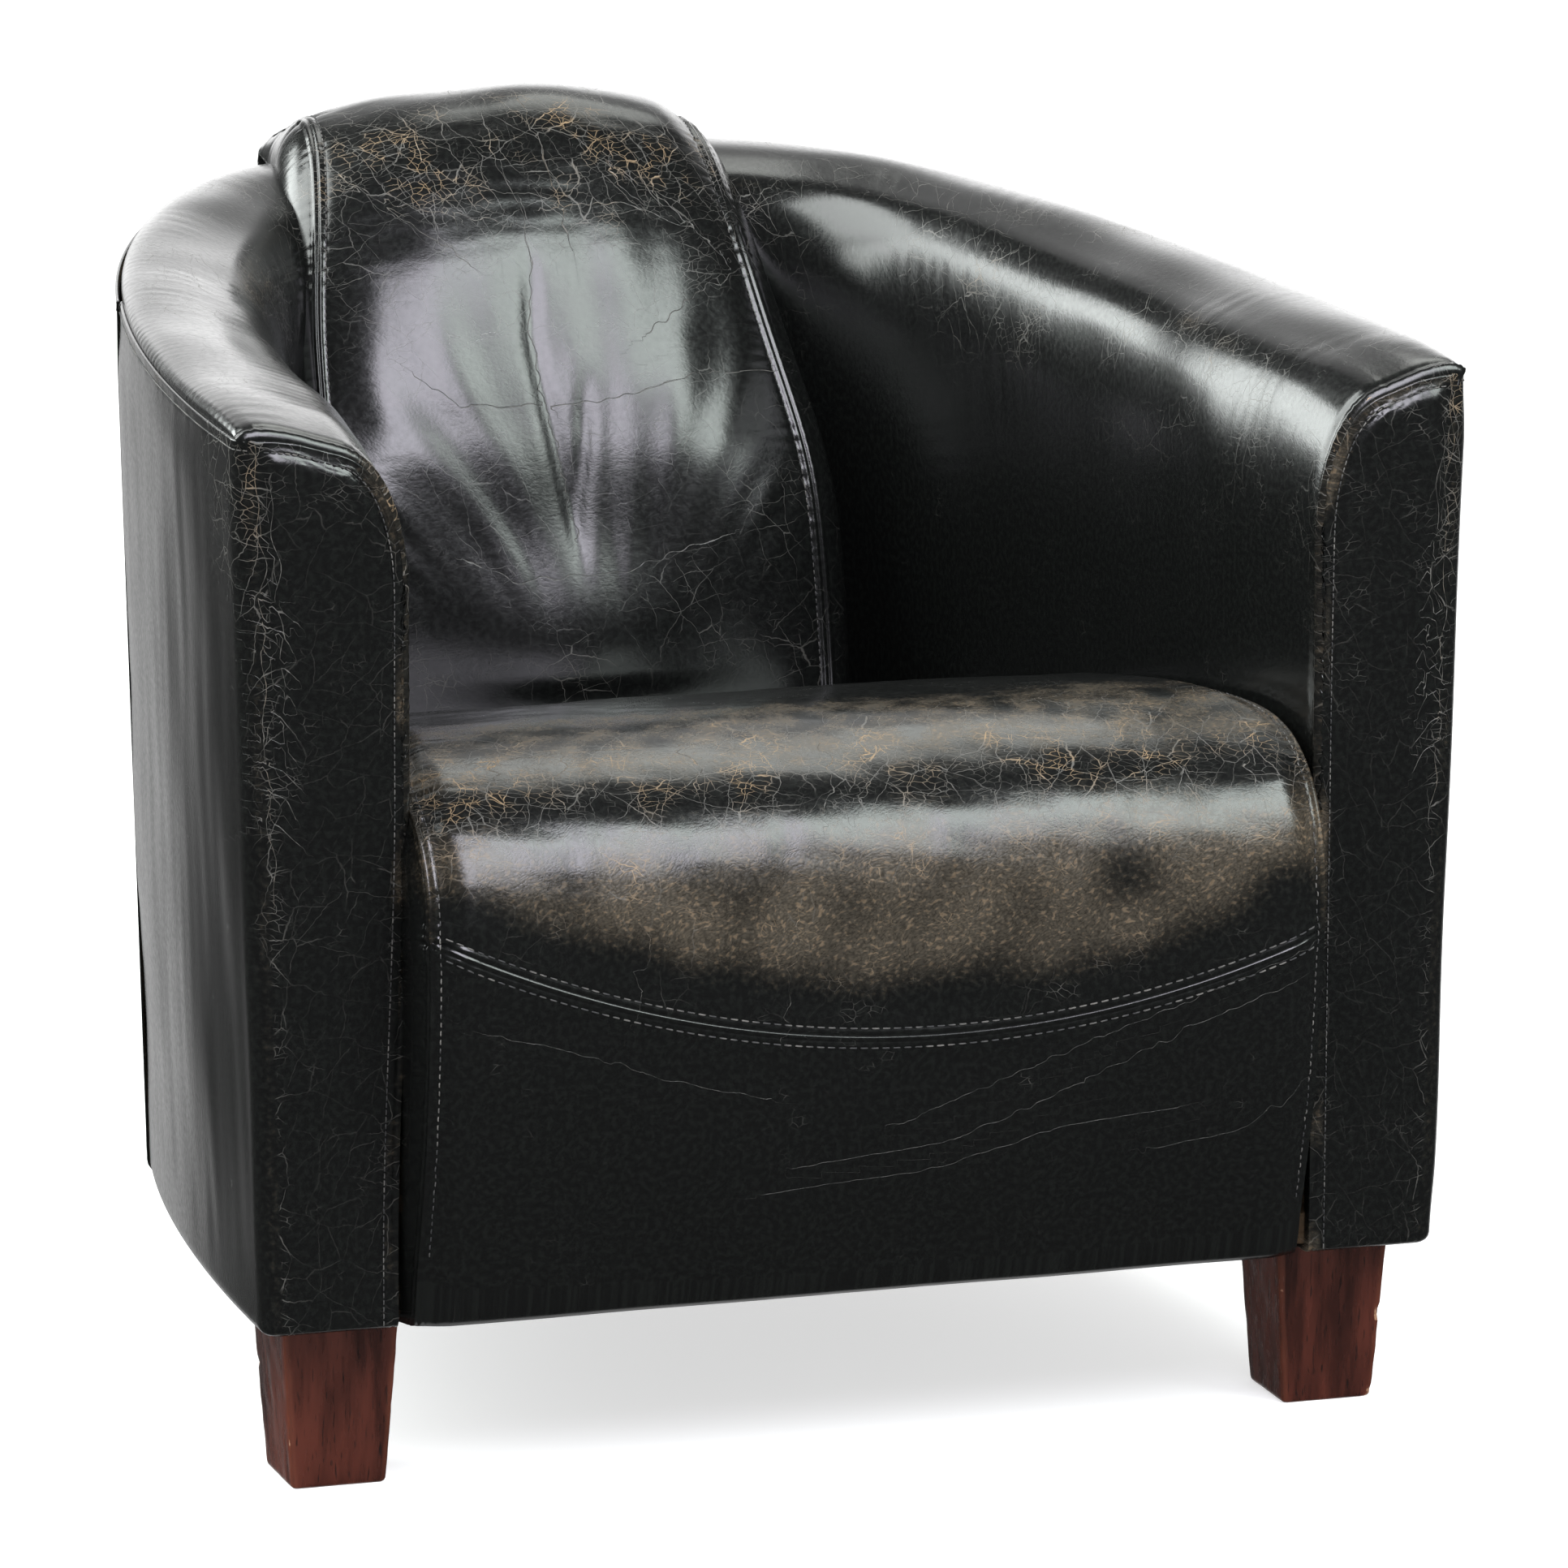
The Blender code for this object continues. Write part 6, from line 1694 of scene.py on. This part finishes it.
# %% [markdown]
# # The dust cover
# Black cambric is tacked over the open base. It is cut to the tub's outline, pulled fairly tight,
# sags a little and puckers at its staples. A grid of rows from front to back, each as wide as the
# base there, gives the sheet; staples are small bars, all in one mesh.

# %% Dust cover and staples
def base_half_width(y, inset):
    """Half the width of the tub's base at each y, less an inset."""
    u = np.linspace(0.0, 1.0, 1201)
    spots = tub_point(u, side_taper(LEG_HEIGHT) + inset, LEG_HEIGHT)
    return np.interp(y, spots[::-1, 1], spots[::-1, 0])


low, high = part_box("dust_cover")
cover_y = np.linspace(low.y, high.y - 0.0006, 70)
half = base_half_width(cover_y, 0.012).clip(0.03)
across = np.linspace(-1.0, 1.0, 70)
x = half[:, None] * across[None]
y = np.broadcast_to(cover_y[:, None], x.shape)
rim_gap = np.minimum(half[:, None] - np.abs(x), np.minimum(y - low.y, high.y - y))
sag = -0.0016 * smoothstep(0.02, 0.16, rim_gap)
pucker = 0.00035 * ripple(np.stack([x, y], -1), 0.045, 301) * smoothstep(0.0, 0.03, rim_gap)
z = low.z + 0.0004 + sag + pucker
cover = make_piece("dust_cover_cloth", np.stack([x, y, z], -1), grid_faces(*x.shape)[:, ::-1],
                   DUST_CLOTH, stands_for=("dust_cover",))
thicken(cover, "cloth_thickness", 0.0005, 0.0)
outline = np.vstack([np.stack([half, cover_y], 1), np.stack([-half[::-1], cover_y[::-1]], 1),
                     [[half[0], cover_y[0]]]])
STAPLE_GAP, STAPLE_INSET, STAPLE_HALF = 0.034, 0.006, np.array([0.0050, 0.00045, 0.00035])
places = even_steps(outline, STAPLE_GAP)[0][:-1]
heading = unit(np.roll(places, -1, axis=0) - np.roll(places, 1, axis=0))
inward = np.stack([-heading[:, 1], heading[:, 0]], 1)
middle = places + inward * STAPLE_INSET
corners = np.array([[a, b, c] for c in (-1, 1) for a, b in ((-1, -1), (1, -1), (1, 1), (-1, 1))])
local = corners * STAPLE_HALF
points = np.concatenate([
    middle[:, None] + heading[:, None] * local[None, :, :1] + inward[:, None] * local[None, :, 1:2],
    np.broadcast_to(low.z + 0.0002 + local[:, 2], (len(middle), 8))[..., None]], -1)
box_faces = np.array([[0, 3, 2, 1], [4, 5, 6, 7], [0, 1, 5, 4], [1, 2, 6, 5], [2, 3, 7, 6],
                      [3, 0, 4, 7]])
faces = (np.arange(len(middle))[:, None, None] * 8 + box_faces).reshape(-1, 4)
make_piece("dust_cover_staples", points, faces, STEEL, sharp=30)

# %% [markdown]
# # The cloth over the springs
# Hessian lies over the seat springs and is tacked to the front and back rails. It is the frame's
# own piece, and only its box is read here.

# %% Spring cloth
low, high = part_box("spring_cloth")

# %% [markdown]
# # Floor, light and camera
# A pale floor and a white surround, lit softly. Black gloss shows only what it mirrors, so the
# shapes of the lamps matter more than their strength. Two soft panels stand side by side in front
# and above, one faintly violet and one faintly green. Two stand at the left, one low and one high,
# and a small one at the back. A bright band of the surround, behind and to one side, draws the pale
# lines along the crowns. The camera looks down a little from the front left with a long lens.

# %% Studio
LAMP_AIM = np.array([0.0, 0.0, 0.42])


def outward(azimuth, elevation):
    """Direction from the chair: azimuth 0 is in front and + is to the right, in radians."""
    return np.array([math.sin(azimuth) * math.cos(elevation),
                     -math.cos(azimuth) * math.cos(elevation), math.sin(elevation)])


def place_turned(thing, spot, side, up, away):
    """Put an object at a spot, with the three directions as its own axes."""
    thing.location = spot
    thing.rotation_mode = "QUATERNION"
    thing.rotation_quaternion = Matrix(np.stack([side, up, away], 1).tolist()).to_quaternion()
    scene.collection.objects.link(thing)


def lamp(name, azimuth, elevation, distance, size, power, colour):
    """A soft panel that faces the chair."""
    data = bpy.data.lights.new(name, "AREA")
    data.shape = "RECTANGLE"
    data.size, data.size_y = size
    data.energy = power
    data.color = colour
    lit = bpy.data.objects.new(name, data)
    lit.visible_camera = False
    away = outward(math.radians(azimuth), math.radians(elevation))
    side = unit(np.cross([0.0, 0.0, 1.0], away))
    place_turned(lit, LAMP_AIM + distance * away, side, np.cross(away, side), away)


lamp("front_panel_violet", 5.0, 43.0, 3.2, (1.10, 1.9), 82.0, (0.92, 0.90, 1.0))
lamp("front_panel_green", 33.0, 42.0, 3.2, (0.90, 1.8), 59.0, (0.91, 1.0, 0.96))
lamp("left_panel", -124.0, 22.0, 3.0, (3.0, 1.15), 110.0, (0.95, 1.0, 0.98))
lamp("left_high_panel", -112.0, 51.0, 3.0, (2.0, 1.9), 105.0, (0.95, 1.0, 0.98))
lamp("back_panel", 147.0, 50.0, 3.6, (1.4, 1.2), 16.0, (0.97, 1.0, 0.95))

world = bpy.data.worlds.new("surround")
scene.world = world
world.use_nodes = True
tree = world.node_tree
tree.nodes.clear()
seen = node(tree, "ShaderNodeLightPath", {}, (), 0)
mirrored_ray = node(tree, "ShaderNodeLightPath", {}, (), 3)
way = node(tree, "ShaderNodeTexCoord", {}, (), 0)
way_x, way_y, way_z = (node(tree, "ShaderNodeSeparateXYZ", {}, (way,), i) for i in range(3))
level = (way_x * way_x + way_y * way_y) ** 0.5
behind = ((way_x * 0.423 + way_y * 0.906) / level.most(0.05)).between(0.836, 0.876)
behind = behind * (0.68 + way_z.between(-0.16, 0.04) * 1.62 - way_z.between(0.22, 0.50) * 1.80
                   - way_z.between(0.60, 0.85) * 0.40)
strength = seen + (1.0 - seen) * (1.1 + mirrored_ray * (behind - 1.04))
white = node(tree, "ShaderNodeBackground", {}, {"Color": (1.0, 1.0, 1.0, 1.0), "Strength": strength})
output = tree.nodes.new("ShaderNodeOutputWorld")
tree.links.new(white.socket, output.inputs["Surface"])

floor_mesh = bpy.data.meshes.new("floor")
floor_mesh.from_pydata([(-9, -9, 0), (9, -9, 0), (9, 9, 0), (-9, 9, 0)], [], [(0, 1, 2, 3)])
floor = bpy.data.objects.new("floor", floor_mesh)
scene.collection.objects.link(floor)
floor_glow = {"Emission Color": (1.0, 1.0, 1.0, 1.0), "Emission Strength": 0.62}
floor_mesh.materials.append(new_finish("pale_floor")["finish"]((0.52, 0.52, 0.52), 0.8, **floor_glow))
floor.visible_glossy = False

CAMERA_TURN, CAMERA_DOWN, CAMERA_ROLL = (math.radians(v) for v in (-18.264, 12.343, 0.188))
CAMERA_AIM, CAMERA_FAR = np.array([-0.048, -0.35, 0.409]), 6.212
SENSOR_MM, LENS_MM = 36.0, 246.32982
back = outward(CAMERA_TURN, CAMERA_DOWN)
right = np.array([math.cos(CAMERA_TURN), math.sin(CAMERA_TURN), 0.0])
up = np.cross(back, right)
turned_right = math.cos(CAMERA_ROLL) * right + math.sin(CAMERA_ROLL) * up
turned_up = -math.sin(CAMERA_ROLL) * right + math.cos(CAMERA_ROLL) * up
lens = bpy.data.cameras.new("camera")
lens.sensor_width, lens.lens = SENSOR_MM, LENS_MM
lens.clip_end = 60.0
camera = bpy.data.objects.new("camera", lens)
place_turned(camera, CAMERA_AIM + CAMERA_FAR * back, turned_right, turned_up, back)
scene.camera = camera
scene.view_settings.view_transform = "Standard"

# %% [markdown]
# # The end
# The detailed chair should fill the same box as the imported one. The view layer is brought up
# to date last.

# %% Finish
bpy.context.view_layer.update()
